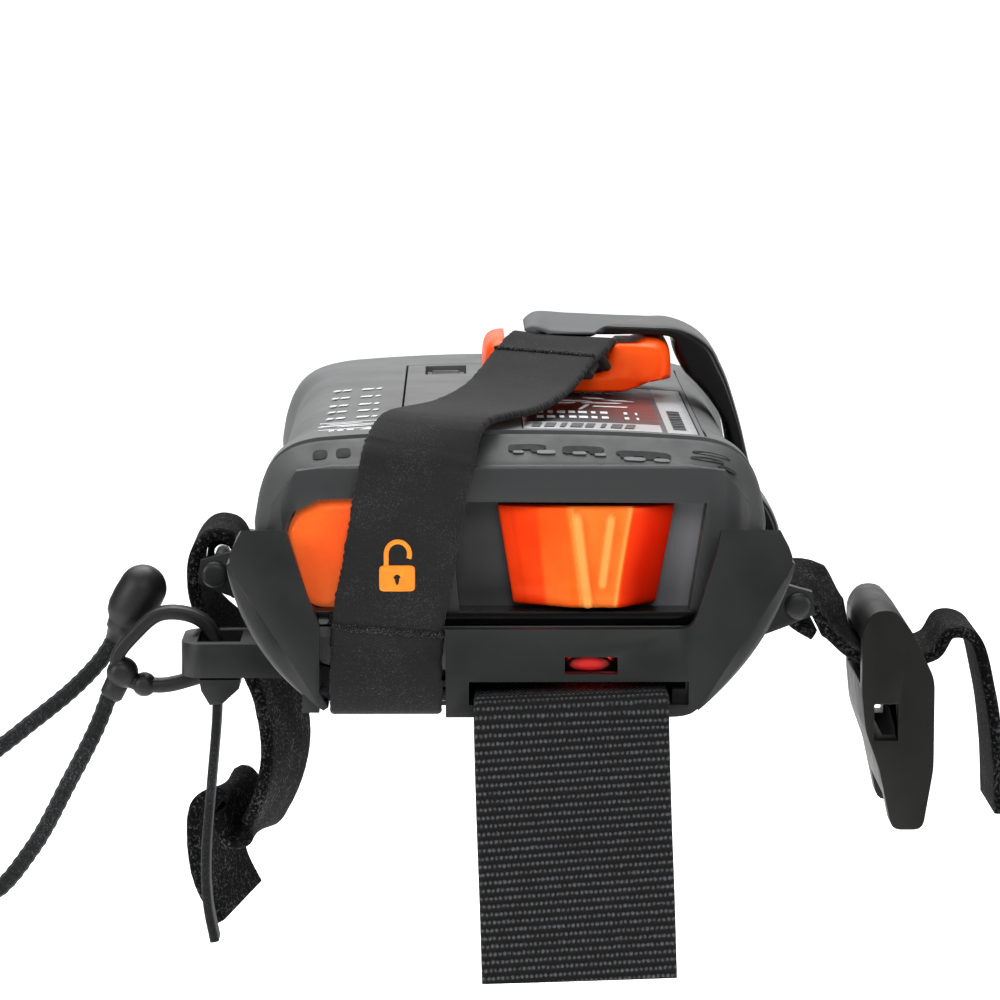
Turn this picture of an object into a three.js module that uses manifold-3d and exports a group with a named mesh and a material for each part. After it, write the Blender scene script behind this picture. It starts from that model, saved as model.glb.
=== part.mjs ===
// Avalanche transceiver in its harness cradle, millimetres, +Z up.
// The origin is the centre of the cradle's underside, the face that is worn against the body.
// The unit lies in the cradle with its display down. +Y runs along it, away from the switch end,
// and +X is to the right when the switch end is looked at. The harness straps hang from the cradle.
import * as THREE from 'three';
import { mergeVertices } from 'three/addons/utils/BufferGeometryUtils.js';
import Module from 'manifold-3d';

const wasm = await Module();
wasm.setup();

// ---------------------------------------------------------------- driving dimensions
const gap = 0.3; // between pieces that touch on the real object

const unitLength = 116;
const unitWidth = 66.4;
const unitThickness = 31;
const shellWall = 2;
const waistInset = 1.6; // how far the sides are drawn in along the middle of the unit
const faceInset = 11.7; // from the widest line to the edge of the flat display face
const frontDepth = 16.4; // from the display face up to the parting line

const cradleFloor = 1.6;
const cradleWall = 2.1;
const cradleClearance = 0.5;
const nearWallHeight = 11.4;
const sideWallHeight = 13.2;
const wingHeight = 24.4;

const webbingWidth = 25;
const webbingThickness = 1.4;
const padThickness = 1;
const strapWidth = 14.6; // retention strap
const strapThickness = 1.1;
const sideStrapWidth = 18;
const sideStrapThickness = 1.6;
const strapDrop = 33; // how far the cut ends of the straps hang below the cradle

const windowDepth = 5.2;
const selectorWidth = 23;
const selectorTravel = 3.7; // each way from the middle stop
const batteryLength = 44.5;
const batteryDiameter = 10.5;
const batteryPitch = 11.2;
const doorWidth = 39.6;
const doorLength = 87.2;
const doorThickness = 1.5;
const labelThickness = 0.4;
const boardThickness = 1.6;
const buttonTravel = 0.8;
const barRadius = 1.2; // every bar that a strap loops round
const cordDiameter = 2.2;

// ---------------------------------------------------------------- places worked out from them
const halfLength = unitLength / 2;
const halfWidth = unitWidth / 2;
const channelTop = cradleFloor + 2 * gap + webbingThickness;
const unitBottom = channelTop + padThickness + gap;
const unitTop = unitBottom + unitThickness;
const partingZ = unitBottom + frontDepth;
const nearEnd = -halfLength;
const nearWallOuter = nearEnd - 4;
const nearWallInner = nearWallOuter + cradleWall;
const farWallOuter = halfLength + cradleClearance + cradleWall;
const arch = unitTop - 3.7; // top of the end frame, under the rubber hoop
const windowBottom = unitBottom + 8.2;
const windowTop = unitTop - 8.5;
const frameBottom = windowBottom - 1.6;
const hoopFar = nearEnd + 6.8; // where the rubber hoop meets the rear cover
const faceHalf = halfWidth - faceInset;

// ---------------------------------------------------------------- materials
const paint = (colour, roughness, metalness = 0) =>
  new THREE.MeshStandardMaterial({ color: colour, roughness, metalness });
const blackPlastic = paint(0x2f3030, 0.5);
const greyPlastic = paint(0x5a5b5b, 0.6);
const frameGrey = paint(0x3a3b3c, 0.45);
const hoopRubber = paint(0x4d4e4e, 0.8);
const orangePlastic = paint(0xff4a10, 0.35);
const strapFabric = paint(0x2b2b2c, 0.95);
const webFabric = paint(0x252628, 0.9);
const boardGreen = paint(0x1f5a35, 0.5);
const steel = paint(0xb8babd, 0.3, 1);
const darkSteel = paint(0x55585c, 0.4, 1);
const ferrite = paint(0x3b3a38, 0.7);
const clearWindow = paint(0x20262a, 0.1);
const cellWrap = paint(0xb98a2c, 0.35);
const redLens = paint(0xff1e12, 0.2);
const foam = paint(0x1c1c1d, 1);
const labelPrint = paint(0x3a0d0a, 0.25);
const rubber = paint(0x3c3d3d, 0.75);

// ---------------------------------------------------------------- solids
const solid = (geometry) => {
  geometry.deleteAttribute('normal');
  geometry.deleteAttribute('uv');
  const merged = mergeVertices(geometry, 1e-4);
  return new wasm.Manifold(new wasm.Mesh({
    numProp: 3,
    vertProperties: new Float32Array(merged.attributes.position.array),
    triVerts: new Uint32Array(merged.index.array),
  }));
};

const box = ([x0, x1], [y0, y1], [z0, z1]) =>
  solid(new THREE.BoxGeometry(x1 - x0, y1 - y0, z1 - z0)
    .translate((x0 + x1) / 2, (y0 + y1) / 2, (z0 + z1) / 2));

// A round bar of the given radius between two points; farRadius makes it a cone.
const bar = (from, to, radius, sides = 16, farRadius = radius) => {
  const start = new THREE.Vector3(...from);
  const along = new THREE.Vector3(...to).sub(start);
  const turn = new THREE.Quaternion()
    .setFromUnitVectors(new THREE.Vector3(0, 1, 0), along.clone().normalize());
  const geometry = new THREE.CylinderGeometry(farRadius, radius, along.length(), sides)
    .applyQuaternion(turn);
  return solid(geometry.translate(...start.addScaledVector(along, 0.5).toArray()));
};

const outlineShape = (points) =>
  points instanceof THREE.Shape ? points : new THREE.Shape(points.map((p) => new THREE.Vector2(...p)));

const extrude = (points, depth) =>
  new THREE.ExtrudeGeometry(outlineShape(points), { depth, bevelEnabled: false, curveSegments: 8 });

// Prisms: an outline in XY raised along Z, one in XZ drawn along Y, and one in YZ drawn along X.
const prismZ = (points, z0, z1) => solid(extrude(points, z1 - z0).translate(0, 0, z0));
const prismY = (points, y0, y1) =>
  solid(extrude(points, y1 - y0).rotateX(Math.PI / 2).translate(0, y1, 0));
const prismX = (points, x0, x1) =>
  solid(extrude(points, x1 - x0).rotateY(Math.PI / 2).rotateX(Math.PI / 2).translate(x0, 0, 0));

const mirrored = (half) => {
  const offAxis = half.filter(([x]) => x !== 0).reverse();
  return [...half, ...offAxis.map(([x, z]) => [-x, z])];
};

// Moves every edge of a convex outline inward by a distance (outward if it is negative).
const insetOutline = (points, distance) => {
  const area = points.reduce((sum, [x, y], i) => {
    const [u, v] = points[(i + 1) % points.length];
    return sum + x * v - u * y;
  }, 0);
  const side = Math.sign(area);
  const edges = points.map(([x, y], i) => {
    const [u, v] = points[(i + 1) % points.length];
    const long = Math.hypot(u - x, v - y);
    const normal = [(-(v - y) / long) * side, ((u - x) / long) * side];
    return { normal, offset: normal[0] * x + normal[1] * y + distance };
  });
  return edges.map((edge, i) => {
    const before = edges[(i + edges.length - 1) % edges.length];
    const cross = before.normal[0] * edge.normal[1] - before.normal[1] * edge.normal[0];
    return [
      (before.offset * edge.normal[1] - edge.offset * before.normal[1]) / cross,
      (before.normal[0] * edge.offset - edge.normal[0] * before.offset) / cross,
    ];
  });
};

// Rounds each corner of an outline with a short parabola that starts reach before the corner.
const rounded = (points, reach) => points.flatMap((corner, i) => {
  const ends = [points[(i + points.length - 1) % points.length], points[(i + 1) % points.length]];
  const [start, end] = ends.map(([x, y]) => {
    const share = Math.min(reach / Math.hypot(x - corner[0], y - corner[1]), 0.45);
    return new THREE.Vector2(corner[0] + (x - corner[0]) * share, corner[1] + (y - corner[1]) * share);
  });
  const curve = new THREE.QuadraticBezierCurve(start, new THREE.Vector2(...corner), end);
  return curve.getPoints(3).map((p) => [p.x, p.y]);
});

const curveThrough = (points) =>
  new THREE.CatmullRomCurve3(points.map((p) => new THREE.Vector3(...p)), false, 'centripetal');

// A flat band along a route. Each stop is [x, y, z] of the band's middle and the direction of its width.
const band = (stops, width, thickness, steps) => {
  const middle = curveThrough(stops.map(([at]) => at));
  const sides = stops.map(([, side]) => new THREE.Vector3(...side).normalize());
  const across = new THREE.CatmullRomCurve3(sides);
  const geometry = new THREE.BoxGeometry(width, thickness, 1, 1, 1, steps);
  const position = geometry.attributes.position;
  for (let i = 0; i < position.count; i += 1) {
    const t = position.getZ(i) + 0.5;
    const along = middle.getTangent(t);
    const side = across.getPoint(t);
    side.addScaledVector(along, -side.dot(along)).normalize();
    const up = new THREE.Vector3().crossVectors(along, side);
    const point = middle.getPoint(t)
      .addScaledVector(side, position.getX(i))
      .addScaledVector(up, position.getY(i));
    position.setXYZ(i, ...point.toArray());
  }
  return solid(geometry);
};

const tube = (points, diameter, sides, steps) => {
  const circle = new THREE.EllipseCurve(0, 0, diameter / 2, diameter / 2).getPoints(sides);
  const ring = new THREE.Shape(circle.slice(0, -1));
  const extrudePath = curveThrough(points);
  return solid(new THREE.ExtrudeGeometry(ring, { steps, extrudePath, bevelEnabled: false }));
};

const roundedPlan = (x, y0, y1, nearRadius, farRadius) => {
  const shape = new THREE.Shape();
  shape.absarc(x - nearRadius, y0 + nearRadius, nearRadius, -Math.PI / 2, 0);
  shape.absarc(x - farRadius, y1 - farRadius, farRadius, 0, Math.PI / 2);
  shape.absarc(-x + farRadius, y1 - farRadius, farRadius, Math.PI / 2, Math.PI);
  shape.absarc(-x + nearRadius, y0 + nearRadius, nearRadius, Math.PI, 1.5 * Math.PI);
  return shape;
};

const union = (pieces) => pieces.reduce((whole, piece) => whole.add(piece));

const object = new THREE.Group();

const place = (name, piece, material) => {
  const { vertProperties, triVerts } = piece.getMesh();
  const geometry = new THREE.BufferGeometry();
  geometry.setAttribute('position', new THREE.BufferAttribute(new Float32Array(vertProperties), 3));
  geometry.setIndex(new THREE.BufferAttribute(new Uint32Array(triVerts), 1));
  geometry.computeVertexNormals();
  const mesh = new THREE.Mesh(geometry, material);
  mesh.name = name;
  object.add(mesh);
};

// ---------------------------------------------------------------- the unit's outer body
// Its cross-section has a flat display face, sides that lean out to a widest line, and a crowned back.
const unitSection = mirrored([
  [faceHalf, unitBottom],
  [faceHalf + 3, unitBottom + 1.1],
  [halfWidth - 1.4, partingZ - 1.3],
  [halfWidth, partingZ + 2.2],
  [halfWidth - 0.4, unitTop - 10],
  [halfWidth - 1.5, unitTop - 5.6],
  [halfWidth - 4.2, unitTop - 1.9],
  [halfWidth - 9, unitTop - 0.8],
  [0, unitTop],
]);
const unitProfile = [
  [nearEnd, unitBottom + 5],
  [nearEnd + 4, unitBottom],
  [halfLength - 4, unitBottom],
  [halfLength, unitBottom + 6],
  [halfLength, unitTop - 5],
  [halfLength - 2.6, unitTop - 1.5],
  [0, unitTop - 0.2],
  [hoopFar, unitTop + 0.1],
  [nearEnd + 1.4, unitTop - 2.7],
  [nearEnd, unitTop - 4.2],
];

// The sides are straight at both ends and drawn in by waistInset between them.
const waistCut = (inset) => {
  const x = halfWidth - waistInset - inset;
  const flare = 12;
  return mirroredPair([
    [x, hoopFar + flare], [x, halfLength - 14 - flare], [x + waistInset + 3, halfLength - 14 + flare],
    [x + 30, halfLength], [x + 30, nearEnd], [x + waistInset + 3, hoopFar - 3],
  ]);
};
function mirroredPair(points) {
  const right = prismZ(points, -5, unitTop + 5);
  return right.add(right.mirror([1, 0, 0]));
}

const unitBody = (inset) => {
  const wide = halfWidth + 0.3 - inset;
  const plan = roundedPlan(wide, nearEnd + inset, halfLength - inset, 6 - inset, 11 - inset);
  return prismY(insetOutline(unitSection, inset), nearEnd - 1, halfLength + 1)
    .intersect(prismX(insetOutline(unitProfile, inset), -halfWidth - 1, halfWidth + 1))
    .intersect(prismZ(plan, 0, unitTop + 5))
    .subtract(waistCut(inset));
};

const outer = unitBody(0);
const inner = unitBody(shellWall);
const shell = outer.subtract(inner);
const above = (z) => box([-80, 80], [-90, 90], [z, 90]);
const below = (z) => box([-80, 80], [-90, 90], [-20, z]);
const beyond = (y) => box([-80, 80], [y, 90], [-20, 90]);
const before = (y) => box([-80, 80], [-90, y], [-20, 90]);

// The end frame fills the switch end under an arch that the rubber hoop wraps.
const archOutline = (inset) => insetOutline(mirrored([
  [halfWidth - 7, frameBottom],
  [halfWidth - 2.6, partingZ - 3],
  [halfWidth - 1.8, partingZ + 2.6],
  [halfWidth - 2.4, unitTop - 9],
  [halfWidth - 5.6, arch - 0.8],
  [halfWidth - 10.4, arch - 0.1],
  [0, arch + 0.1],
]), inset);
const frameFar = nearEnd + windowDepth;
const frameSpace = prismY(archOutline(-gap), nearEnd - 5, frameFar + gap);

// ---------------------------------------------------------------- screws and posts
const screwX = halfWidth - 7.2;
const screwY = halfLength - 16;
const screwHeadZ = unitBottom + 8.4;
const screwTipZ = partingZ + 8;
const screwPlaces = [[-screwX, -screwY], [screwX, -screwY], [-screwX, screwY], [screwX, screwY]];
const screwRadius = 1.1;
const screwHeadRadius = 2;
const postRadius = 3.4;

const posts = (z0, z1, radius) =>
  union(screwPlaces.map(([x, y]) => bar([x, y, z0], [x, y, z1], radius, 12)));

// ---------------------------------------------------------------- display side
const displayWindow = { x: [-17.5, 17.5], y: [-24, 26] };
const buttonPlaces = [[-9.5, -36], [9.5, -36]];
const buttonRadius = 5;
const statusX = 10.3;
const statusZ = unitBottom + 2.6;
const statusHalf = 2.8;

function frontShell() {
  const hole = box(displayWindow.x, displayWindow.y, [unitBottom - 1, unitBottom + shellWall + 1]);
  const rebate = box([-20.6, 20.6], [-27, 29], [unitBottom + 0.9, unitBottom + shellWall + 0.4]);
  const buttons = union(buttonPlaces.map(([x, y]) =>
    bar([x, y, unitBottom - 1], [x, y, unitBottom + shellWall + 1], buttonRadius + gap, 20)));
  const light = box([statusX - statusHalf - gap, statusX + statusHalf + gap], [nearEnd - 1, nearEnd + 8],
    [statusZ - 1.3, statusZ + 1.3]);
  const slots = union([-3.2, 0, 3.2].map((x) =>
    box([x - 0.7, x + 0.7], [38, 46], [unitBottom - 1, unitBottom + shellWall + 1])));
  return shell.intersect(below(partingZ))
    .add(posts(unitBottom + 1, partingZ, postRadius).intersect(outer))
    .subtract(posts(unitBottom - 2, screwHeadZ, screwHeadRadius + gap))
    .subtract(posts(unitBottom, unitTop, screwRadius + gap))
    .subtract(union([hole, rebate, buttons, light, slots, frameSpace.intersect(above(frameBottom - gap))]));
}

function displayWindowPlate() {
  return box([-20.3, 20.3], [-26.7, 28.7], [unitBottom + 1.2, unitBottom + 2.1])
    .add(box([-17.2, 17.2], [-23.7, 25.7], [unitBottom + 0.3, unitBottom + 1.2]));
}

const displayTop = unitBottom + shellWall + 4;
const boardBottom = displayTop + 3.2;
const boardTop = boardBottom + boardThickness;

function displayModule() {
  return box([-19, 19], [-26, 28], [unitBottom + shellWall + 0.8, displayTop]);
}

function button(x, y) {
  const flangeZ = unitBottom + shellWall + 0.3;
  const cap = bar([x, y, unitBottom - 0.1], [x, y, flangeZ], buttonRadius, 20);
  return cap.add(bar([x, y, flangeZ], [x, y, flangeZ + 0.7], buttonRadius + 0.9, 20));
}

function keypadMat() {
  const top = boardBottom - gap;
  const bottom = unitBottom + shellWall + 1 + buttonTravel + gap;
  return box([-17, 17], [-43, -29], [bottom, bottom + 1.2])
    .add(union(buttonPlaces.map(([x, y]) => bar([x, y, bottom + 1], [x, y, top], 3, 12))));
}

function mainBoard() {
  const board = prismZ(roundedPlan(halfWidth - 6.4, -46, 50, 4, 8), boardBottom, boardTop);
  return board.intersect(unitBody(shellWall + gap)).subtract(posts(0, unitTop, postRadius + gap));
}

function statusLight() {
  return box([statusX - statusHalf, statusX + statusHalf], [nearEnd + 2.2, nearEnd + 7.6],
    [statusZ - 1, statusZ + 1]);
}

function speaker() {
  return bar([0, 42, unitBottom + shellWall + gap], [0, 42, boardBottom - gap], 7.5, 20);
}

// ---------------------------------------------------------------- back side
const doorX = [-14.2, -14.2 + doorWidth];
const doorY = [hoopFar + 1.6, hoopFar + 1.6 + doorLength];
const latchPlace = { x: -8.6, y: doorY[1] - 14, long: 9, wide: 5.4, travel: 3 };

function shellGasket() {
  return unitBody(0.7).subtract(unitBody(1.4))
    .intersect(above(partingZ + gap))
    .intersect(below(partingZ + 1.3))
    .intersect(beyond(hoopFar + gap));
}

function rearCover() {
  const gasketGroove = unitBody(0.4).subtract(unitBody(1.7)).intersect(below(partingZ + 1.6));
  const door = box([doorX[0] - gap, doorX[1] + gap], [doorY[0] - gap, doorY[1] + gap],
    [partingZ + 4, unitTop + 1]);
  return shell.intersect(above(partingZ + gap))
    .subtract(gasketGroove)
    .add(posts(partingZ + gap, unitTop, postRadius).intersect(outer))
    .intersect(beyond(hoopFar + gap))
    .subtract(posts(0, screwTipZ + gap, screwRadius + gap))
    .subtract(door)
    .add(doorLedge());
}

// A ledge round the door opening that the door rests on.
function doorLedge() {
  const depth = doorThickness + gap;
  const ring = box([doorX[0] - 2, doorX[1] + 2], [doorY[0] - 2, doorY[1] + 2], [partingZ + 4, unitTop + 1])
    .subtract(box([doorX[0] + 1.4, doorX[1] - 1.4], [doorY[0] + 1.4, doorY[1] - 1.4], [0, 90]));
  return ring
    .intersect(unitBody(depth).subtract(unitBody(depth + 1.1)))
    .intersect(beyond(hoopFar + gap));
}

function batteryDoor() {
  const panel = outer.subtract(unitBody(doorThickness))
    .intersect(box(doorX, doorY, [partingZ + 6, unitTop + 1]));
  const { x, y, long, wide, travel } = latchPlace;
  const recess = box([x - wide / 2 - gap, x + wide / 2 + gap], [y - gap, y + long + travel + gap],
    [unitTop - 5, unitTop + 1]);
  const labelPocket = unitBody(-1).subtract(unitBody(labelThickness + gap)).intersect(labelSpace(gap));
  return panel.subtract(recess).subtract(labelPocket);
}

function labelSpace(clearance) {
  const [x0, x1] = [doorX[0] + 16, doorX[1] - 0.8];
  return box([x0 - clearance, x1 + clearance], [doorY[0] + 1 - clearance, doorY[0] + 56 + clearance],
    [partingZ + 6, unitTop + 2]);
}

function backLabel() {
  return outer.subtract(unitBody(labelThickness)).intersect(labelSpace(0));
}

function batteryLatch() {
  const { x, y, long, wide } = latchPlace;
  const top = unitTop - 0.7;
  const body = box([x - wide / 2, x + wide / 2], [y, y + long], [top - 2, top]);
  const grips = union([1.4, 3.4, 5.4].map((step) =>
    box([x - wide / 2 + 0.7, x + wide / 2 - 0.7], [y + step, y + step + 0.8], [top - 0.1, top + 0.5])));
  return body.add(grips);
}

// ---------------------------------------------------------------- switch end
const windowRight = halfWidth - 7.9;
const selectorX = windowRight - gap - selectorTravel - selectorWidth / 2; // its middle at the middle stop
const windowLeft = selectorX - selectorWidth / 2 - selectorTravel - 2.6;
const cornerLeft = -halfWidth + 4;
const cornerRight = windowLeft - 11;

function bumperHoop() {
  const notches = union([-2.6, 3.6, 9.8, 16].map((x) =>
    box([x, x + 4.2], [nearEnd + 2.6, nearEnd + 3.9], [unitTop - 1.9, unitTop + 2])));
  const pockets = union([-24.5, -21.6].map((x) =>
    box([x, x + 2], [nearEnd + 2.4, nearEnd + 4.4], [unitTop - 2.4, unitTop + 2])));
  return shell.intersect(above(partingZ + gap)).intersect(before(hoopFar))
    .add(outer.intersect(above(arch - 2)).intersect(before(frameFar - 1)))
    .subtract(frameSpace)
    .subtract(notches)
    .subtract(pockets);
}

function windowOutline(grow) {
  return insetOutline([
    [windowLeft + 1.4, windowBottom], [windowRight - 2.2, windowBottom],
    [windowRight, windowTop - 0.2], [windowLeft, windowTop],
  ], -grow);
}

function cornerOutline(grow) {
  return insetOutline([
    [cornerLeft + 4.2, windowBottom + 0.4], [cornerRight, windowBottom + 0.4],
    [cornerRight, windowTop + 0.2], [cornerLeft + 4.6, windowTop],
    [cornerLeft + 1.4, windowTop - 1.6], [cornerLeft + 0.2, windowTop - 4],
    [cornerLeft + 1.6, windowBottom + 4.6], [cornerLeft + 2.6, windowBottom + 1.4],
  ], -grow);
}

function switchFrame() {
  return prismY(archOutline(0), nearEnd - 1, frameFar).intersect(outer)
    .subtract(prismY(windowOutline(0), nearEnd - 2, frameFar + 1))
    .subtract(prismY(cornerOutline(gap), nearEnd - 2, frameFar + 1))
    .subtract(posts(0, unitTop, postRadius + gap));
}

const trackNear = frameFar + gap;
const trackThickness = 1.6;

function selectorTrack() {
  const slotHalf = 3 + selectorTravel + gap;
  return box([windowLeft - 2, windowRight + 2], [trackNear, trackNear + trackThickness],
    [windowBottom - 1, windowTop + 1])
    .intersect(unitBody(shellWall + gap))
    .subtract(box([selectorX - slotHalf, selectorX + slotHalf], [trackNear - 1, trackNear + 4],
      [(windowBottom + windowTop) / 2 - 3.3, (windowBottom + windowTop) / 2 + 3.3]));
}

// The knob is faceted in plan, leans in toward its bottom, and carries two raised ribs in a V.
function selectorSwitch() {
  const back = frameFar - gap;
  const half = selectorWidth / 2;
  const plan = [
    [-half, back], [half, back], [half, back - 1.2], [half - 3.2, back - 3.2],
    [half - 6, back - 5.2], [-half + 9.4, back - 4.9], [-half + 4.9, back - 3.1], [-half, back - 1.6],
  ];
  const low = windowBottom + 0.6;
  const high = windowTop - 0.7;
  const geometry = extrude(plan, high - low);
  const position = geometry.attributes.position;
  for (let i = 0; i < position.count; i += 1) {
    const drop = 1 - position.getZ(i) / (high - low);
    position.setX(i, position.getX(i) * (1 - 0.2 * drop) + selectorX - 0.2 * drop);
    position.setY(i, back + (position.getY(i) - back) * (1 + 0.1 * drop));
    position.setZ(i, position.getZ(i) + low);
  }
  const face = back - 5.1;
  const rib = (topX, bottomX, topZ, bottomZ, wide) => prismY([
    [topX - wide / 2, topZ], [bottomX - wide / 3, bottomZ],
    [bottomX + wide / 3, bottomZ], [topX + wide / 2, topZ],
  ], face - 0.9, face + 3);
  const middle = (windowBottom + windowTop) / 2;
  return solid(geometry)
    .add(rib(selectorX - 1.3, selectorX + 0.1, high - 1.4, low + 1, 1.3))
    .add(rib(selectorX + 3.2, selectorX + 2, high - 1.4, low + 3.8, 1.5))
    .add(box([selectorX - 3, selectorX + 3], [back - 0.5, trackNear + trackThickness + gap],
      [middle - 3, middle + 3]));
}

function selectorMagnet() {
  const middle = (windowBottom + windowTop) / 2;
  const y = trackNear + trackThickness + 2 * gap;
  return box([selectorX - 4.4, selectorX + 4.4], [y, y + 2.2], [middle - 4.4, middle + 4.4]);
}

function cornerLens() {
  const ridge = prismY(cornerOutline(0), nearEnd + 0.3, frameFar - 0.4);
  return ridge.subtract(box([cornerRight - 1.5, cornerRight - 0.9], [nearEnd - 1, nearEnd + 1], [0, 60]));
}

// ---------------------------------------------------------------- power and electronics
const batteryZ = unitTop - shellWall - 0.5 - batteryDiameter / 2 - 1.1;
const batteryNear = hoopFar + 8.4;
const batteryX = (index) => 4 + (index - 1) * batteryPitch;
const trayFloor = batteryZ - batteryDiameter / 2 - gap;

function batteryTray() {
  const x0 = batteryX(0) - batteryDiameter / 2 - gap;
  const x1 = batteryX(2) + batteryDiameter / 2 + gap;
  const [y0, y1] = [batteryNear - 4, batteryNear + batteryLength + 4];
  const hollow = box([x0, x1], [y0, y1], [trayFloor, 60]);
  return box([x0 - 1.1, x1 + 1.1], [y0 - 1.1, y1 + 1.1], [trayFloor - 1.1, trayFloor + 6.5])
    .subtract(hollow);
}

function battery(index) {
  const x = batteryX(index);
  const toFar = index % 2 === 0 ? 1 : -1;
  const middle = batteryNear + batteryLength / 2;
  const can = (batteryLength - 1.2) / 2;
  const at = (along) => [x, middle + toFar * along, batteryZ];
  return bar(at(-can - 0.6), at(can - 0.6), batteryDiameter / 2, 20)
    .add(bar(at(0), at(batteryLength / 2), 1.9, 12));
}

function contactPlate(y, inward) {
  const x0 = batteryX(0) - batteryDiameter / 2;
  const x1 = batteryX(2) + batteryDiameter / 2;
  const plate = box([x0, x1], [Math.min(y, y + inward * 0.5), Math.max(y, y + inward * 0.5)],
    [trayFloor + gap, trayFloor + 9]);
  return union([plate, ...[0, 1, 2].map((index) =>
    bar([batteryX(index), y, batteryZ], [batteryX(index), y + inward * 3.2, batteryZ], 3.4, 10, 1.6))]);
}

function antennaLong() {
  const y = [-screwY + 11, screwY - 6];
  const x = -halfWidth + 10;
  const rod = box([x - 2, x + 2], y, [boardTop + 1, boardTop + 5]);
  return rod.add(box([x - 3, x + 3], [y[0] + 18, y[1] - 18], [boardTop + gap, boardTop + 6]));
}

function antennaCross() {
  const y = batteryNear + batteryLength + 13;
  const rod = box([-18, 21], [y - 2, y + 2], [boardTop + 1, boardTop + 5]);
  return rod.add(box([-7, 10], [y - 3, y + 3], [boardTop + gap, boardTop + 6]));
}

function antennaVertical() {
  const place = [12, batteryNear + batteryLength + 26];
  return bar([...place, boardTop + gap], [...place, boardTop + 9], 6, 16);
}

function screw(x, y) {
  return bar([x, y, screwHeadZ - 1.8], [x, y, screwHeadZ - gap], screwHeadRadius, 12)
    .add(bar([x, y, screwHeadZ - 1], [x, y, screwTipZ], screwRadius, 10));
}

// ---------------------------------------------------------------- cradle
const cradleOuter = halfWidth + 3.4;
const cradleEdge = faceHalf + 2.6;
const cradleKnee = partingZ - 1.2;
const channelX = [-5.4, -5.4 + webbingWidth + 1.2];
const strapX = -16.1; // the middle of the retention strap at the switch end
const strapMouth = { x: [strapX - strapWidth / 2 - 1.2, strapX + strapWidth / 2 + 0.4], y: nearEnd + 5 };
const strapBar = { y: nearEnd - 1.75, z: barRadius + gap + strapThickness + 0.1 };
const armY = [-7.5, 11.5];
const armPivot = { x: halfWidth + 2.9, z: sideWallHeight + 1.4 };
const earThickness = 2;
const sideStrapY = -22; // the middle of both side straps
const aroundStrap = (extra) =>
  [sideStrapY - sideStrapWidth / 2 - extra, sideStrapY + sideStrapWidth / 2 + extra];
const sidePinY = aroundStrap(gap + earThickness);
const leftPin = { x: halfWidth + 6.3, z: sideWallHeight + 1.2, y: sidePinY };
const rightPin = { x: halfWidth + 5.8, z: sideWallHeight - 3.2, y: sidePinY };
const lug = { x: [-halfWidth - 10.1, -cradleEdge - 4], y: [-48, -34], z: [2.8, 7.3] };
const ledSlot = { x: [statusX - 3.4, statusX + 3.4], z: [5.6, 7.8] };

const cradleSection = (inset) => insetOutline(mirrored([
  [cradleEdge - 2, 0],
  [cradleEdge, 0.9],
  [cradleOuter, cradleKnee],
  [cradleOuter - 3.3, wingHeight + 2],
]), inset);

function cradleShell() {
  const shellY = [nearWallOuter, farWallOuter];
  const outside = prismY(rounded(cradleSection(0), 2.2), ...shellY);
  const insideY = [nearWallInner, halfLength + cradleClearance];
  const unitRoom = prismY(insetOutline(unitSection, -cradleClearance), ...insideY)
    .intersect(above(channelTop - gap))
    .add(prismY(cradleSection(cradleWall), ...insideY).intersect(above(unitBottom + 2)));
  const padRoom = box([-faceHalf - 1, faceHalf + 1], insideY, [channelTop - gap, unitBottom + 3]);
  // Full height only at the wings, then low walls along the unit and a lower one at the far end.
  const topLine = prismX([
    [nearWallOuter - 1, wingHeight], [nearWallOuter + 9, wingHeight - 1.5],
    [nearWallOuter + 15, sideWallHeight], [halfLength - 24, sideWallHeight],
    [halfLength - 12, nearWallHeight - 2], [farWallOuter + 1, nearWallHeight - 2],
    [farWallOuter + 1, 80], [nearWallOuter - 1, 80],
  ], -60, 60);
  const frontCut = prismY(rounded([
    [strapMouth.x[1] - 6, nearWallHeight], [faceHalf + 1.2, nearWallHeight],
    [faceHalf + 2.2, nearWallHeight + 1.2], [faceHalf + 5, wingHeight - 2.6],
    [faceHalf + 7, wingHeight + 9], [-faceHalf - 9, wingHeight + 9],
    [-faceHalf - 7.2, wingHeight - 0.4], [-faceHalf - 4.4, nearWallHeight + 3.6],
    [-faceHalf - 3.2, nearWallHeight + 1], [strapMouth.x[0], nearWallHeight + 0.4],
  ], 1.6), nearWallOuter - 1, nearWallInner + 3);
  return outside.subtract(unitRoom).subtract(padRoom).subtract(topLine).subtract(frontCut);
}

function cradle() {
  const mouth = box(strapMouth.x, [nearWallOuter - 1, strapMouth.y], [-1, 60]);
  const channel = box(channelX, [nearWallOuter - 1, nearEnd + 42], [cradleFloor, channelTop]);
  const webSlot = box([channelX[0], channelX[1] + 2], [nearWallOuter - 1, nearWallInner + 0.1],
    [cradleFloor, channelTop + 1]);
  const led = box(ledSlot.x, [nearWallOuter - 1, nearWallInner + 1], ledSlot.z);
  const armPinHole = barAlongY(armPivot.x, [armY[0] - 9, armY[1] + 9], armPivot.z, barRadius + gap);
  return cradleShell()
    .subtract(mouth).add(strapBarCheeks())
    .subtract(channel).subtract(webSlot).subtract(led)
    .add(union([pinEars(-1, leftPin), pinEars(1, rightPin), armEars(), lugLoop()]).subtract(cradleRoom()))
    .subtract(strapBarRod(3, barRadius + 0.05))
    .subtract(union([pinHoles(-1, leftPin), pinHoles(1, rightPin)]))
    .subtract(armPinHole);
}

// Everything inside the cradle's walls, so that ears added outside them never reach the unit.
function cradleRoom() {
  return prismY(cradleSection(cradleWall), nearWallOuter - 1, farWallOuter + 1);
}

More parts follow.
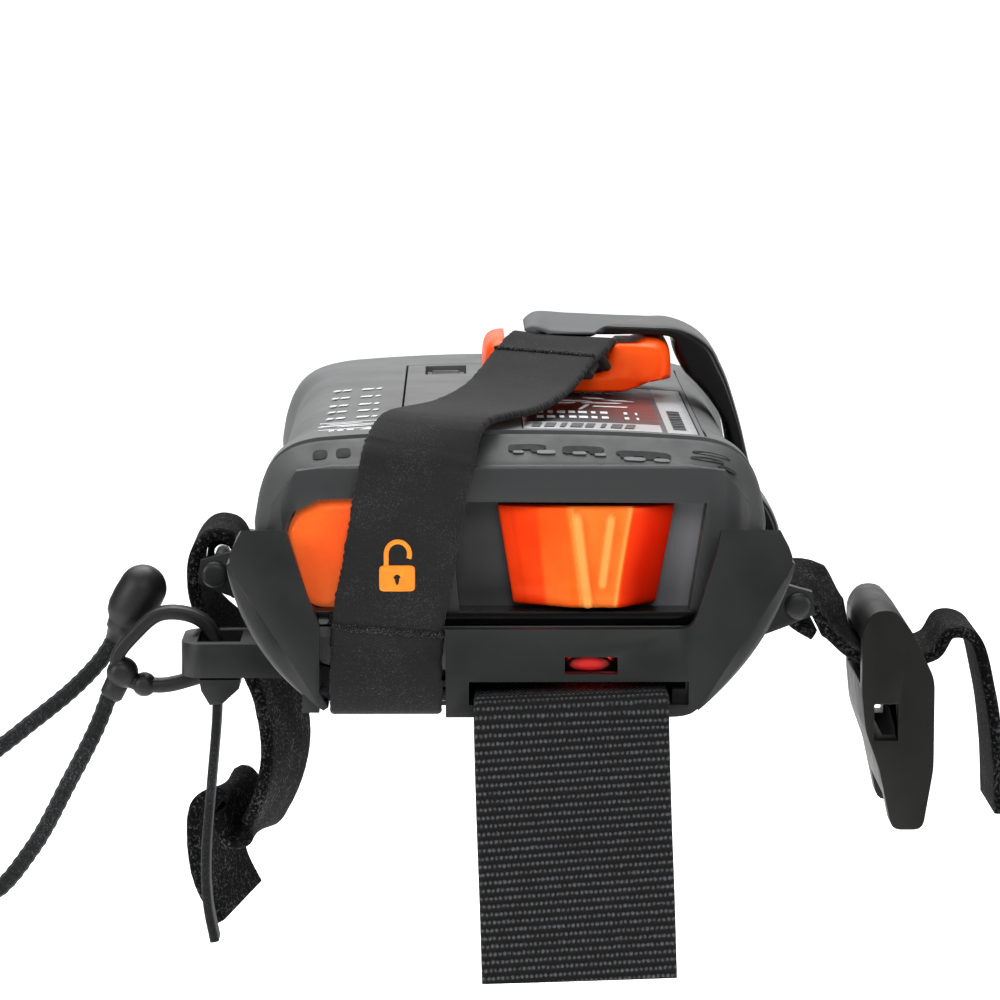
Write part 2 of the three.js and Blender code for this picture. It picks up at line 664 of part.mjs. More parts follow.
// The steel bar under the front wall that the retention strap is looped round.
function strapBarRod(past, radius) {
  const [x0, x1] = strapMouth.x;
  return bar([x0 - past, strapBar.y, strapBar.z], [x1 + past, strapBar.y, strapBar.z], radius, 16);
}

const barAlongY = (x, [y0, y1], z, radius) => bar([x, y0, z], [x, y1, z], radius, 16);

function strapBarCheeks() {
  const cheek = (x0, x1) => box([x0, x1], [nearWallOuter + 0.2, strapMouth.y], [0.6, unitBottom - gap]);
  return cheek(strapMouth.x[0] - 2.2, strapMouth.x[0]).add(cheek(strapMouth.x[1], strapMouth.x[1] + 2.2));
}

function earOutline(side, pin, foot) {
  const r = barRadius + 1.5;
  return [
    [pin.x - 3, pin.z + r + 0.6], [pin.x - 0.8, pin.z + r], [pin.x + r - 0.8, pin.z + r - 0.8],
    [pin.x + r - 0.4, pin.z - r + 1.6], [pin.x - 1.4, pin.z - r],
    [foot, pin.z - r - 3.4], [foot, pin.z + r - 0.6],
  ].map(([x, z]) => [side * x, z]);
}

function pinEars(side, pin) {
  const outline = earOutline(side, pin, halfWidth - 4.6);
  const ear = (y0) => prismY(side > 0 ? outline.slice().reverse() : outline, y0, y0 + earThickness);
  return ear(pin.y[0]).add(ear(pin.y[1] - earThickness));
}

function pinHoles(side, pin) {
  return barAlongY(side * pin.x, [pin.y[0] - 1, pin.y[1] + 1], pin.z, barRadius + 0.05);
}

function armEars() {
  const outline = earOutline(1, armPivot, halfWidth - 4.6).reverse();
  return prismY(outline, armY[0] - gap - 2.4, armY[0] - gap)
    .add(prismY(outline, armY[1] + gap, armY[1] + gap + 2.4));
}

function lugLoop() {
  const shape = new THREE.Shape();
  const [x0, x1] = lug.x;
  const [y0, y1] = lug.y;
  const radius = 3.2;
  shape.moveTo(x1, y0);
  shape.lineTo(x1, y1);
  shape.absarc(x0 + radius, y1 - radius, radius, Math.PI / 2, Math.PI);
  shape.absarc(x0 + radius, y0 + radius, radius, Math.PI, 1.5 * Math.PI);
  return prismZ(shape, ...lug.z).subtract(lugSlot());
}

function lugSlot() {
  return box([lug.x[0] + 2.1, lug.x[0] + 7.8], [lug.y[0] + 2.2, lug.y[1] - 2.2],
    [lug.z[0] - 1, lug.z[1] + 1]);
}

function cradlePad() {
  const z = [channelTop, channelTop + padThickness];
  return prismZ(roundedPlan(faceHalf - 0.4, nearEnd + 6, halfLength - 6, 5, 5), ...z)
    .subtract(posts(0, 60, screwHeadRadius + 1))
    .subtract(box([-18.5, 18.5], [-25, 27], [0, 60]));
}

// ---------------------------------------------------------------- straps
const strapOff = strapThickness / 2 + gap;
const hookBar = { x: 7.6, y: -6.4, z: unitTop + 5.4 };

// Up from the bar under the switch end, over the rim and slantwise across the back to the hook.
function retentionStrap() {
  const r = barRadius + strapOff;
  const face = nearEnd - strapOff - 0.1;
  const outerLayer = face - strapThickness - gap;
  const flat = [1, 0, 0];
  const slant = [0.97, -0.2, -0.03];
  const stops = [
    [[strapX, face, 13], flat],
    [[strapX, face, 8.6], flat],
    [[strapX, strapBar.y + r, strapBar.z + 1.2], flat],
    [[strapX, strapBar.y + r * 0.72, strapBar.z - r * 0.72], flat],
    [[strapX, strapBar.y, strapBar.z - r], flat],
    [[strapX, strapBar.y - r * 0.72, strapBar.z - r * 0.72], flat],
    [[strapX, strapBar.y - r, strapBar.z + 1.2], flat],
    [[strapX + 0.2, outerLayer, 8.6], flat],
    [[strapX + 0.5, outerLayer, 13.2], flat],
    [[strapX + 1.4, face - 0.5, 18], flat],
    [[strapX + 2.6, face - 0.2, 25], [1, 0, 0.03]],
    [[strapX + 3.9, face - 0.3, arch], [1, 0.05, 0.05]],
    [[strapX + 4.6, nearEnd + 0.2, unitTop - 1.6], [1, -0.1, -0.1]],
    [[strapX + 5.4, nearEnd + 3, unitTop + 0.5], slant],
    [[strapX + 6.6, hoopFar - 0.4, unitTop + 1.5], slant],
    [[-2.8, -38, unitTop + 1.8], slant],
    [[1.6, -26, unitTop + 3.1], slant],
    [[5.4, -13.5, hookBar.z + 0.9], [0.99, -0.12, -0.03]],
    [[hookBar.x, hookBar.y - 0.4, hookBar.z + r], flat],
    [[hookBar.x, hookBar.y + r * 0.75, hookBar.z + r * 0.7], flat],
    [[hookBar.x, hookBar.y + r, hookBar.z - 0.1], flat],
    [[hookBar.x, hookBar.y + r * 0.6, hookBar.z - r * 0.8], flat],
    [[hookBar.x, hookBar.y - 1, hookBar.z - r * 0.9], flat],
    [[5.6, -13.5, hookBar.z - 1], flat],
    [[4.6, -17, hookBar.z - 1.8], slant],
  ];
  return band(stops, strapWidth, strapThickness, 88);
}

function shoulderWebbing() {
  const x = channelX[0] + 0.6 + webbingWidth / 2;
  const z = cradleFloor + gap + webbingThickness / 2;
  const side = [1, 0, 0];
  const lip = nearWallOuter;
  const stops = [
    [[x, nearEnd + 39, z], side], [[x, nearEnd + 20, z], side],
    [[x, lip + 1, z], side], [[x, lip - 1, z], side],
    [[x, lip - 2.6, z - 0.9], [1, 0, 0.02]], [[x, lip - 3.4, z - 3.4], [1, 0, 0.03]],
    [[x + 0.3, lip - 4.6, -12], [1, 0, 0.03]], [[x + 0.7, lip - 5.8, -23], [1, 0, 0.03]],
    [[x + 1, lip - 6.6, -strapDrop], [1, 0, 0.03]],
  ];
  return band(stops, webbingWidth, webbingThickness, 40);
}

// A loose loop round its pin, then down past the cradle with one doubled fold.
function leftElasticStrap() {
  const y = sideStrapY;
  const side = [0, 1, 0];
  const x = -leftPin.x;
  const z = leftPin.z;
  const route = [
    [x + 2.9, z - 3.6], [x + 3.4, z + 1.4], [x + 2.2, z + 4.4], [x - 0.4, z + 4.9], [x - 2.5, z + 2.6],
    [x - 3, z - 1.4], [x - 1.6, z - 5.6], [x + 1.8, z - 9.4], [x + 5.8, z - 14], [x + 8.2, z - 19],
    [x + 9, z - 25], [x + 8.2, z - 30], [x + 6.4, z - 34.4], [x + 4.8, z - 36.6], [x + 3.1, z - 36.2],
    [x + 2.5, z - 33.6], [x + 1.3, z - 31.4], [x - 0.5, z - 32.6], [x - 0.9, z - 37], [x - 0.2, z - 42],
    [x + 2.2, -strapDrop],
  ];
  return band(route.map(([px, pz]) => [[px, y, pz], side]), sideStrapWidth, sideStrapThickness, 84);
}

const tail = { x: lug.x[0] + 4.7, y: lug.y[0] + 3.8, wide: 5 };

function tailSlider() {
  const top = lug.z[0] - gap;
  const wedge = prismY([
    [tail.x - 2.3, top], [tail.x - 2, top - 1.5], [tail.x - 0.9, top - 3.4], [tail.x + 0.8, top - 3.2],
    [tail.x + 3, top - 1.2], [tail.x + 3.2, top],
  ], tail.y - tail.wide / 2 - 0.9, tail.y + tail.wide / 2 + 0.9);
  return wedge.subtract(box([tail.x - 0.9, tail.x + 0.9],
    [tail.y - tail.wide / 2 - gap, tail.y + tail.wide / 2 + gap], [-8, top - 1]));
}

function tailStrap() {
  const top = lug.z[0] - gap - 1.3;
  const side = [0, 1, 0];
  return band([
    [[tail.x, tail.y, top], side], [[tail.x - 0.1, tail.y, top - 4], side],
    [[tail.x - 0.9, tail.y, -12], side], [[tail.x - 1.7, tail.y, -22], side],
    [[tail.x - 1.5, tail.y, -28], side], [[tail.x - 0.6, tail.y, -strapDrop], side],
  ], tail.wide, 1.2, 24);
}

// ---------------------------------------------------------------- lanyard
const ringY = lug.y[1] - 4.6;
const ringHalf = 1.5;

function lanyardRing() {
  const bend = [
    [lug.x[0] + 4.2, 8.6], [lug.x[0] + 1.4, 10.6], [lug.x[0] - 3.4, 10.9], [lug.x[0] - 7.2, 8],
    [lug.x[0] - 10, 3.6], [lug.x[0] - 8.4, 0.6], [lug.x[0] - 3.6, -0.7], [lug.x[0] + 1, 0.2],
    [lug.x[0] + 3.8, 1.6], [lug.x[0] + 5.4, 4.6],
  ].map((p) => new THREE.Vector2(...p));
  const outerLine = new THREE.SplineCurve([...bend, bend[0]]).getPoints(36).slice(0, -1);
  const centre = new THREE.Vector2(lug.x[0] - 2.4, 4.9);
  const wall = 2;
  const innerLine = outerLine.map((p) => {
    const out = p.clone().sub(centre);
    return p.clone().addScaledVector(out, -wall / out.length());
  });
  const shape = new THREE.Shape(outerLine);
  shape.holes.push(new THREE.Path(innerLine));
  const knuckle = barAlongY(lug.x[0] - 8.3, [ringY - ringHalf - 0.7, ringY + ringHalf + 0.7], 2, 2.3);
  return prismY(shape, ringY - ringHalf, ringY + ringHalf).add(knuckle);
}

const knot = [lug.x[0] - 8.3, ringY, 2];
const fromKnot = ([x, y, z]) => [knot[0] + x, knot[1] + y, knot[2] + z];
const grip = { low: fromKnot([-0.9, 5, 4.6]), high: fromKnot([4, 5, 13.4]) };

// The elastic cord leaves the ring's knuckle, loops out to the left and comes back up into the bulb.
const cordRoute = [
  [-1.5, 0, -2.3], [-3.6, 0, -7.6], [-7.4, 0.2, -15], [-12.4, 0.6, -24], [-18.4, 1.6, -30.6],
  [-25.4, 2.6, -31], [-28.4, 3.4, -24.6], [-23.4, 4.2, -16.4], [-14.4, 4.7, -9], [-7, 4.9, -3],
  [-3.2, 4.95, 1], [-1.3, 5, 3.9],
].map(fromKnot);

function cordGrip() {
  const profile = [];
  const long = 10.1;
  const radius = 3.2;
  profile.push(new THREE.Vector2(0, 0), new THREE.Vector2(1.9, 0), new THREE.Vector2(2.5, 1.2));
  for (let turn = 0; turn <= 6; turn += 1) {
    const angle = (turn / 6) * (Math.PI / 2);
    const across = turn === 6 ? 0 : radius * Math.cos(angle);
    profile.push(new THREE.Vector2(across, long - radius + radius * Math.sin(angle)));
  }
  const low = new THREE.Vector3(...grip.low);
  const along = new THREE.Vector3(...grip.high).sub(low).normalize();
  const turn = new THREE.Quaternion().setFromUnitVectors(new THREE.Vector3(0, 1, 0), along);
  return solid(new THREE.LatheGeometry(profile, 18).applyQuaternion(turn).translate(...low.toArray()));
}

// ---------------------------------------------------------------- right side strap and buckle
const buckle = { x: [halfWidth + 15.6, halfWidth + 24.2], y: aroundStrap(3.8), top: 9.6, bottom: -20.4 };
const buckleSlot = { z: 2.2, half: 3 };

function rightElasticStrap() {
  const y = sideStrapY;
  const { x, z } = rightPin;
  const slotZ = buckleSlot.z;
  const r = barRadius + gap + sideStrapThickness / 2;
  const side = [0, 1, 0];
  return band([
    [[x + 2.4, y, z - 4.4], side], [[x - 0.4, y, z - r - 0.3], side],
    [[x - r, y, z], side], [[x - r * 0.6, y, z + r * 0.8], side],
    [[x + 0.8, y, z + r], side], [[x + 3.2, y, z + 0.8], [0, 1, 0.12]],
    [[x + 5.6, y, z - 3.2], [0, 1, 0.2]],
    [[buckle.x[0] - 1.6, y, slotZ + 0.9], [0, 1, 0.04]], [[buckle.x[0] + 3.2, y, slotZ - 0.2], side],
    [[buckle.x[1] + 0.4, y, slotZ + 0.7], side], [[buckle.x[1] + 2.6, y, slotZ + 3.6], side],
    [[buckle.x[1] + 5.6, y, slotZ + 3], side], [[buckle.x[1] + 8, y, -2.4], side],
    [[buckle.x[1] + 9.2, y, -11], side], [[buckle.x[1] + 9.6, y, -19], side],
  ], sideStrapWidth, sideStrapThickness, 60);
}

function buckleSocket() {
  const [x0, x1] = buckle.x;
  const outline = [
    [x0 - 1.2, buckle.top - 2.2], [x0 + 0.4, buckle.top],
    [x0 + 3.2, buckle.top], [x0 + 5.6, buckle.top - 3],
    [x1, buckleSlot.z - 2], [x1, -12], [x1 - 1.4, buckle.bottom],
    [x0 + 3, buckle.bottom], [x0 + 1.2, -12], [x0 - 0.7, -6.8], [x0 - 1.2, buckleSlot.z - 4],
  ];
  const slot = box([x0 - 6, x1 + 6], aroundStrap(0.8),
    [buckleSlot.z - buckleSlot.half, buckleSlot.z + buckleSlot.half]);
  const window = box([x0 + 0.5, x0 + 3.7], [buckle.y[0] - 1, buckle.y[1] + 1], [-8.1, -3.2]);
  const cavity = box([x0 + 2.1, x1 - 1.5], [buckle.y[0] + 4.4, buckle.y[1] - 4.4],
    [buckle.bottom - 1, -3.4]);
  return prismY(rounded(outline, 1.2), ...buckle.y).subtract(slot).subtract(window).subtract(cavity);
}

// ---------------------------------------------------------------- hook and arm
function releaseHook() {
  const z = unitTop + 0.5;
  const [x0, x1] = [hookBar.x - strapWidth / 2 - 3.7, halfWidth - 10.2];
  const right = hookBar.x + strapWidth / 2 + 0.7;
  const [y0, y1] = [hookBar.y - 2.6, hookBar.y + 18.4];
  const base = box([x0 + 0.6, x1 - 3], [hookBar.y + 4.6, y1], [z, z + 2]);
  const rightCheek = prismY(rounded([
    [right, z], [right + 2, z], [x1 - 2.6, z + 1.2], [x1, z + 2.9], [x1, z + 7], [x1 - 0.8, z + 7.6],
    [right + 3, z + 7.1], [right + 0.8, z + 7.3], [right, z + 5.6],
  ], 1), y0, y1 - 5);
  const leftCheek = prismY(rounded([
    [x0 + 0.8, z], [x0 + 2.5, z], [x0 + 2.5, z + 7.4],
    [x0 + 1.8, z + 7.8], [x0 + 0.6, z + 6.6], [x0, z + 3.6],
  ], 1), y0, y1 - 5);
  const tooth = prismX([
    [hookBar.y + 6.4, z + 1], [hookBar.y + 6.4, z + 6.9],
    [hookBar.y + 8.2, z + 6.9], [hookBar.y + 12, z + 1],
  ], 3.4, 12.6);
  const across = bar([x0 + 2, hookBar.y, hookBar.z], [right + 0.4, hookBar.y, hookBar.z], barRadius, 16);
  return union([base, rightCheek, leftCheek, tooth, across]);
}

// The arm pivots on the cradle's right wall, hugs the unit's side and ends in a tongue over the hook.
function retainerArm() {
  const top = unitTop + 9.9;
  const under = unitTop + 8.4;
  const rightSide = halfWidth - waistInset + cradleClearance;
  const outline = [
    [2.6, under - 0.2], [2.4, top], [4, top + 0.7], [9, top + 0.2], [15, top - 0.5],
    [halfWidth - 11.8, top - 0.2], [halfWidth - 8, top - 1], [halfWidth - 4.6, top - 3.4],
    [halfWidth - 2.4, top - 7.4], [halfWidth - 0.2, top - 14.4], [halfWidth + 1.2, partingZ + 4],
    [armPivot.x + 1.6, armPivot.z + 4.6], [armPivot.x + 2.5, armPivot.z + 1],
    [armPivot.x + 2, armPivot.z - 1.9], [armPivot.x - 0.2, armPivot.z - 2.6],
    [armPivot.x - 2.3, armPivot.z - 1.2], [armPivot.x - 2.5, armPivot.z + 2],
    [rightSide + 0.1, partingZ + 1], [rightSide, unitTop - 5.4], [rightSide - 2.4, unitTop - 1.5],
    [rightSide - 4.2, unitTop + 0.7], [halfWidth - 7.4, unitTop + 3.2], [halfWidth - 8.8, unitTop + 5.6],
    [halfWidth - 9.6, under], [15, under],
  ];
  const lip = prismX([
    [hookBar.y + 3.4, under + 0.4], [hookBar.y + 3.4, under - 0.9], [hookBar.y + 4, under - 1.7],
    [hookBar.y + 5.4, under - 1.7], [hookBar.y + 6, under - 0.9], [hookBar.y + 6, under + 0.4],
  ], 3.4, 13.4);
  const tongueOnly = box([-10, 22], [hookBar.y - 20, hookBar.y + 3.4], [unitTop, 90]);
  return prismY(rounded(outline, 1.8), ...armY)
    .subtract(tongueOnly)
    .add(lip)
    .subtract(barAlongY(armPivot.x, [armY[0] - 1, armY[1] + 1], armPivot.z, barRadius + 0.05));
}

// ---------------------------------------------------------------- assembly
place('front_shell', frontShell(), greyPlastic);
place('rear_cover', rearCover(), greyPlastic);
place('bumper_rim', bumperHoop(), hoopRubber);
place('switch_frame', switchFrame(), frameGrey);
place('selector_track', selectorTrack(), blackPlastic);
place('selector_switch', selectorSwitch(), orangePlastic);
place('selector_magnet', selectorMagnet(), darkSteel);
place('corner_lens', cornerLens(), orangePlastic);
place('battery_door', batteryDoor(), greyPlastic);
place('battery_latch', batteryLatch(), blackPlastic);
place('back_label', backLabel(), labelPrint);
place('shell_gasket', shellGasket(), rubber);
place('battery_tray', batteryTray(), blackPlastic);
for (const index of [0, 1, 2]) place(`battery_${index + 1}`, battery(index), cellWrap);
place('contact_plate_near', contactPlate(batteryNear - 3.7, 1), steel);
place('contact_plate_far', contactPlate(batteryNear + batteryLength + 3.7, -1), steel);
place('main_board', mainBoard(), boardGreen);
place('display_module', displayModule(), clearWindow);
place('display_window', displayWindowPlate(), clearWindow);
place('keypad_mat', keypadMat(), rubber);
place('button_left', button(...buttonPlaces[0]), blackPlastic);
place('button_right', button(...buttonPlaces[1]), blackPlastic);
place('status_light', statusLight(), redLens);
place('speaker', speaker(), darkSteel);
place('antenna_long', antennaLong(), ferrite);
place('antenna_cross', antennaCross(), ferrite);
place('antenna_vertical', antennaVertical(), ferrite);
screwPlaces.forEach(([x, y], index) => place(`shell_screw_${index + 1}`, screw(x, y), steel));
place('cradle', cradle(), blackPlastic);
place('cradle_pad', cradlePad(), foam);
const pinRadius = barRadius - 0.25;
place('strap_bar', strapBarRod(2, pinRadius), darkSteel);
place('left_strap_pin', barAlongY(-leftPin.x, leftPin.y, leftPin.z, pinRadius), darkSteel);
place('right_strap_pin', barAlongY(rightPin.x, rightPin.y, rightPin.z, pinRadius), darkSteel);
place('arm_pin', barAlongY(armPivot.x, [armY[0] - 2.7, armY[1] + 2.7], armPivot.z, pinRadius), darkSteel);
place('retention_strap', retentionStrap(), strapFabric);
place('release_hook', releaseHook(), orangePlastic);
place('retainer_arm', retainerArm(), blackPlastic);
place('shoulder_webbing', shoulderWebbing(), webFabric);
place('left_elastic_strap', leftElasticStrap(), strapFabric);
place('tail_slider', tailSlider(), blackPlastic);
place('tail_strap', tailStrap(), webFabric);
place('lanyard_ring', lanyardRing(), rubber);
place('lanyard_cord', tube(cordRoute, cordDiameter, 8, 44), webFabric);
place('cord_grip', cordGrip(), rubber);
place('right_elastic_strap', rightElasticStrap(), strapFabric);
place('buckle_socket', buckleSocket(), blackPlastic);

export default object;
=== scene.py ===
import math

import bmesh
import bpy
import numpy as np
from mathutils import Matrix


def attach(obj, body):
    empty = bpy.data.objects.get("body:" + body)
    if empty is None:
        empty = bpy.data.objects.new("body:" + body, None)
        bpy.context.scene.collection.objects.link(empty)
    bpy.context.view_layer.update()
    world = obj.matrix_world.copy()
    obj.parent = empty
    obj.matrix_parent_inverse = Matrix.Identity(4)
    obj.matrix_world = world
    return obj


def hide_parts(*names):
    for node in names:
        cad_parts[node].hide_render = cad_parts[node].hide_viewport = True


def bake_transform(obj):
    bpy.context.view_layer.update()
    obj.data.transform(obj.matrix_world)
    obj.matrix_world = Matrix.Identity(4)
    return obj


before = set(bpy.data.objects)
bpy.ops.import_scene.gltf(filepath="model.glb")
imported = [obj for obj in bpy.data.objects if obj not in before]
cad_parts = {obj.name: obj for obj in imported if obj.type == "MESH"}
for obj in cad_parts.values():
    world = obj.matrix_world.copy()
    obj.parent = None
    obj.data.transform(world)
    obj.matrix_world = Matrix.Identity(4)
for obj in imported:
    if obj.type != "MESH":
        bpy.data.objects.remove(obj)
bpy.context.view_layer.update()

# An avalanche transceiver in its harness cradle, made piece by piece in the order it goes together.
# Metres, +Z up. +Y runs along the unit away from the switch end, and the cradle's underside is at Z = 0.
scene = bpy.context.scene


# ---------------------------------------------------------------- studio
# A long lens a little above the unit looks down on its switch end. The surround is one sweep of pale card,
# flat under the object and curving up behind it, lit by a pale sky and three soft boxes.
def skin(name, grid, closed=True, capped=True, looped=False, facing=None):
    """Four-sided faces between neighbours in a rows x columns grid of points. closed joins the last column to
    the first, looped the last row to the first, and capped shuts the end rows with fans to their middles. The
    surface map holds the distance along the rows and columns in metres. Faces are turned outwards by the sign
    of the enclosed volume, or towards facing on an open sheet."""
    rows, columns = grid.shape[:2]
    index = np.arange(rows * columns).reshape(rows, columns)
    left, right = (index, np.roll(index, -1, 1)) if closed else (index[:, :-1], index[:, 1:])
    low, high = (slice(None), np.r_[1:rows, 0]) if looped else (slice(0, -1), slice(1, None))
    faces = np.stack([left[low], right[low], right[high], left[high]], -1).reshape(-1, 4)
    ring = np.concatenate([grid, grid[:, :1]], 1) if closed else grid
    across = np.r_[0, np.cumsum(np.linalg.norm(np.diff(ring[rows // 2], axis=0), axis=1))]
    turns = np.concatenate([grid, grid[:1]]) if looped else grid
    along = np.r_[0, np.cumsum(np.linalg.norm(np.diff(turns, axis=0), axis=2).mean(1))]
    u0, v0 = np.meshgrid(across[:-1], along[:-1])
    u1, v1 = np.meshgrid(across[1:], along[1:])
    uv = np.stack([u0, v0, u1, v0, u1, v1, u0, v1], -1).reshape(-1, 4, 2)
    points = grid.reshape(-1, 3)
    shut = np.zeros((0, 3), int)
    if closed and capped and not looped:
        points = np.concatenate([points, grid[:1].mean(1), grid[-1:].mean(1)])
        first, last = np.full(columns, rows * columns), np.full(columns, rows * columns + 1)
        shut = np.concatenate([np.stack([right[0], left[0], first], -1), np.stack([left[-1], right[-1], last], -1)])
    corners = points[faces[:, [0, 1, 2]]], points[faces[:, [0, 2, 3]]], points[shut]
    if facing is None:
        turned = sum(np.einsum("ij,ij->", c[:, 0], np.cross(c[:, 1], c[:, 2])) for c in corners) < 0
    else:
        turned = sum((np.cross(c[:, 1] - c[:, 0], c[:, 2] - c[:, 0]) @ facing).sum() for c in corners) < 0
    if turned:
        faces, uv, shut = faces[:, ::-1], uv[:, ::-1], shut[:, ::-1]
    mesh = bpy.data.meshes.new(name)
    mesh.from_pydata(points.tolist(), [], faces.tolist() + shut.tolist())
    surface = mesh.uv_layers.new(name="surface")
    flat = np.zeros(len(mesh.loops) * 2)
    flat[:uv.size] = uv.reshape(-1)
    surface.data.foreach_set("uv", flat)
    mesh.shade_smooth()
    piece = bpy.data.objects.new(name, mesh)
    scene.collection.objects.link(piece)
    return piece


def ease(x):
    """A smooth step from 0 to 1 as x goes from 0 to 1."""
    x = np.clip(x, 0, 1)
    return x * x * (3 - 2 * x)


def hue(code):
    """A six-figure colour code as linear light, with full opacity."""
    share = np.array([int(code[i:i + 2], 16) for i in (0, 2, 4)]) / 255
    return (*np.where(share <= 0.04045, share / 12.92, ((share + 0.055) / 1.055) ** 2.4), 1)


def node(tree, kind, inputs=None, **settings):
    """One shader node, with each named input joined to a socket or set to a value."""
    made = tree.nodes.new("ShaderNode" + kind)
    for key, value in settings.items():
        setattr(made, key, value)
    for key, value in (inputs or {}).items():
        if isinstance(value, bpy.types.NodeSocket):
            tree.links.new(value, made.inputs[key])
        else:
            made.inputs[key].default_value = value
    return made


def ramp(tree, share, stops):
    """A colour read off a line of (place, colour) stops by a share from 0 to 1."""
    made = node(tree, "ValToRGB", {"Fac": share})
    for place, colour in stops[2:]:
        made.color_ramp.elements.new(place)
    for element, (place, colour) in zip(made.color_ramp.elements, sorted(stops, key=lambda stop: stop[0])):
        element.position, element.color = place, colour
    return made.outputs["Color"]


def noise(tree, where, size, detail=2.0, rough=0.5):
    """A cloud of shares from 0 to 1 with blotches of the given size in metres."""
    inputs = {"Vector": where, "Scale": 1 / size, "Detail": detail, "Roughness": rough}
    return node(tree, "TexNoise", inputs).outputs["Fac"]


def spread(tree, share, low, high):
    """Shares from 0.3 to 0.7 stretched between two values."""
    return node(tree, "MapRange", {"Value": share, "From Min": 0.3, "From Max": 0.7, "To Min": low, "To Max": high}
                ).outputs["Result"]


def blank_finish(name, **sockets):
    """An empty finish: its material, node tree, shader and object coordinates, with the constants set on the
    shader itself."""
    material = bpy.data.materials.new(name)
    material.use_nodes = True
    tree = material.node_tree
    shader = tree.nodes["Principled BSDF"]
    for key, value in sockets.items():
        shader.inputs[key.replace("_", " ")].default_value = value
    return material, tree, shader, node(tree, "TexCoord").outputs["Object"]


def dress(tree, shader, colour, gloss=None, relief=None, distance=0.0, strength=1.0):
    """Joins a finish's colour, its roughness, and its relief as a bump of the given depth in metres."""
    tree.links.new(colour, shader.inputs["Base Color"])
    if gloss is not None:
        tree.links.new(gloss, shader.inputs["Roughness"])
    if relief is not None:
        bump = node(tree, "Bump", {"Height": relief, "Distance": distance, "Strength": strength})
        tree.links.new(bump.outputs["Normal"], shader.inputs["Normal"])


def between(tree, value, low, high):
    """A share that goes from 0 to 1 as a value goes from low to high."""
    return node(tree, "MapRange", {"Value": value, "From Min": low, "From Max": high}).outputs["Result"]


def summed(tree, first, second):
    """The sum of two values."""
    return node(tree, "Math", {0: first, 1: second}, operation="ADD").outputs[0]


def grey(value):
    """A grey that stands for a share, for use in a ramp."""
    return (value, value, value, 1)


def moulded(name, colour, roughness, grain=0.00035, depth=0.000012, patch=0.012, wear=0.18, **sockets):
    """Moulded plastic or rubber: a fine spark-eroded grain as bump, and cloudy patches that shift its shade and
    its gloss a little, as handling does."""
    material, tree, shader, where = blank_finish(name, **sockets)
    clouds = noise(tree, where, patch, 4)
    base = np.array(hue(colour))
    dark, light = base * (1 - wear), np.minimum(base * (1 + wear), 1)
    dark[3] = light[3] = 1
    dress(tree, shader, ramp(tree, clouds, [(0.3, dark), (0.7, light)]),
          spread(tree, noise(tree, where, patch / 3, 5), roughness - 0.06, roughness + 0.08),
          noise(tree, where, grain, 2, 0.6), depth, 0.8)
    return material


def fit(piece, material, body, *stands_for, slot=None):
    """Gives a piece its finish, fixes it to its body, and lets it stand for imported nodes."""
    piece.data.materials.clear()
    piece.data.materials.append(material)
    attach(piece, body)
    if stands_for:
        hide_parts(*stands_for)
    return piece


camera = bpy.data.objects.new("studio_camera", bpy.data.cameras.new("studio_camera"))
camera.data.lens = 159.3
camera.data.sensor_width = 36
camera.location = (-0.0065, -0.622, 0.1003)
camera.rotation_euler = (math.radians(90 - 7.34), 0, math.radians(-0.52))
scene.collection.objects.link(camera)
scene.camera = camera

turn = np.linspace(0, math.pi / 2, 24)
sweep = np.concatenate([[[-0.5, -0.16]], np.stack([1.6 + 1.4 * np.sin(turn), 1.24 - 1.4 * np.cos(turn)], -1), [[3, 5]]])
sideways = np.linspace(-1.6, 1.6, 9)
card = np.stack([np.broadcast_to(sideways, (len(sweep), 9)),
                 np.broadcast_to(sweep[:, :1], (len(sweep), 9)), np.broadcast_to(sweep[:, 1:], (len(sweep), 9))], -1)
floor = skin("studio_sweep", card, closed=False, facing=(0, -0.3, 1))
floor.data.materials.append(moulded("pale_card", "fbfbfa", 0.9, grain=0.002, depth=0.00002, patch=0.6, wear=0.01,
                                    Emission_Color=(1, 1, 1, 1), Emission_Strength=0.75))

world = bpy.data.worlds.new("studio_sky")
world.use_nodes = True
sky = world.node_tree.nodes["Background"]
sky.inputs["Color"].default_value = (1, 1, 1, 1)
# The sky is white to look at and dim as a light, so that the boxes shape the highlights.
seen = node(world.node_tree, "LightPath").outputs["Is Camera Ray"]
strength = node(world.node_tree, "MapRange", {"Value": seen, "To Min": 0.1, "To Max": 1.0})
world.node_tree.links.new(strength.outputs["Result"], sky.inputs["Strength"])
scene.world = world
scene.view_settings.view_transform = "Standard"


def soft_box(name, place, target, size, power):
    """A square lamp that faces its target."""
    data = bpy.data.lights.new(name, "AREA")
    data.size, data.energy = size, power
    lamp = bpy.data.objects.new(name, data)
    lamp.location = place
    toward = np.subtract(target, place)
    lamp.rotation_euler = (math.atan2(math.hypot(toward[0], toward[1]), -toward[2]), 0,
                           math.atan2(-toward[0], toward[1]))
    scene.collection.objects.link(lamp)


soft_box("overhead_box", (-0.1, 0.3, 0.9), (0, 0, 0.02), 0.8, 13)
soft_box("left_box", (-0.8, -0.5, 0.35), (0, -0.03, 0.01), 0.45, 5)
soft_box("right_box", (0.9, -0.35, 0.3), (0, -0.03, 0.01), 0.45, 4)
soft_box("front_box", (0.1, -1.3, 0.75), (0, -0.05, 0.01), 0.6, 7)


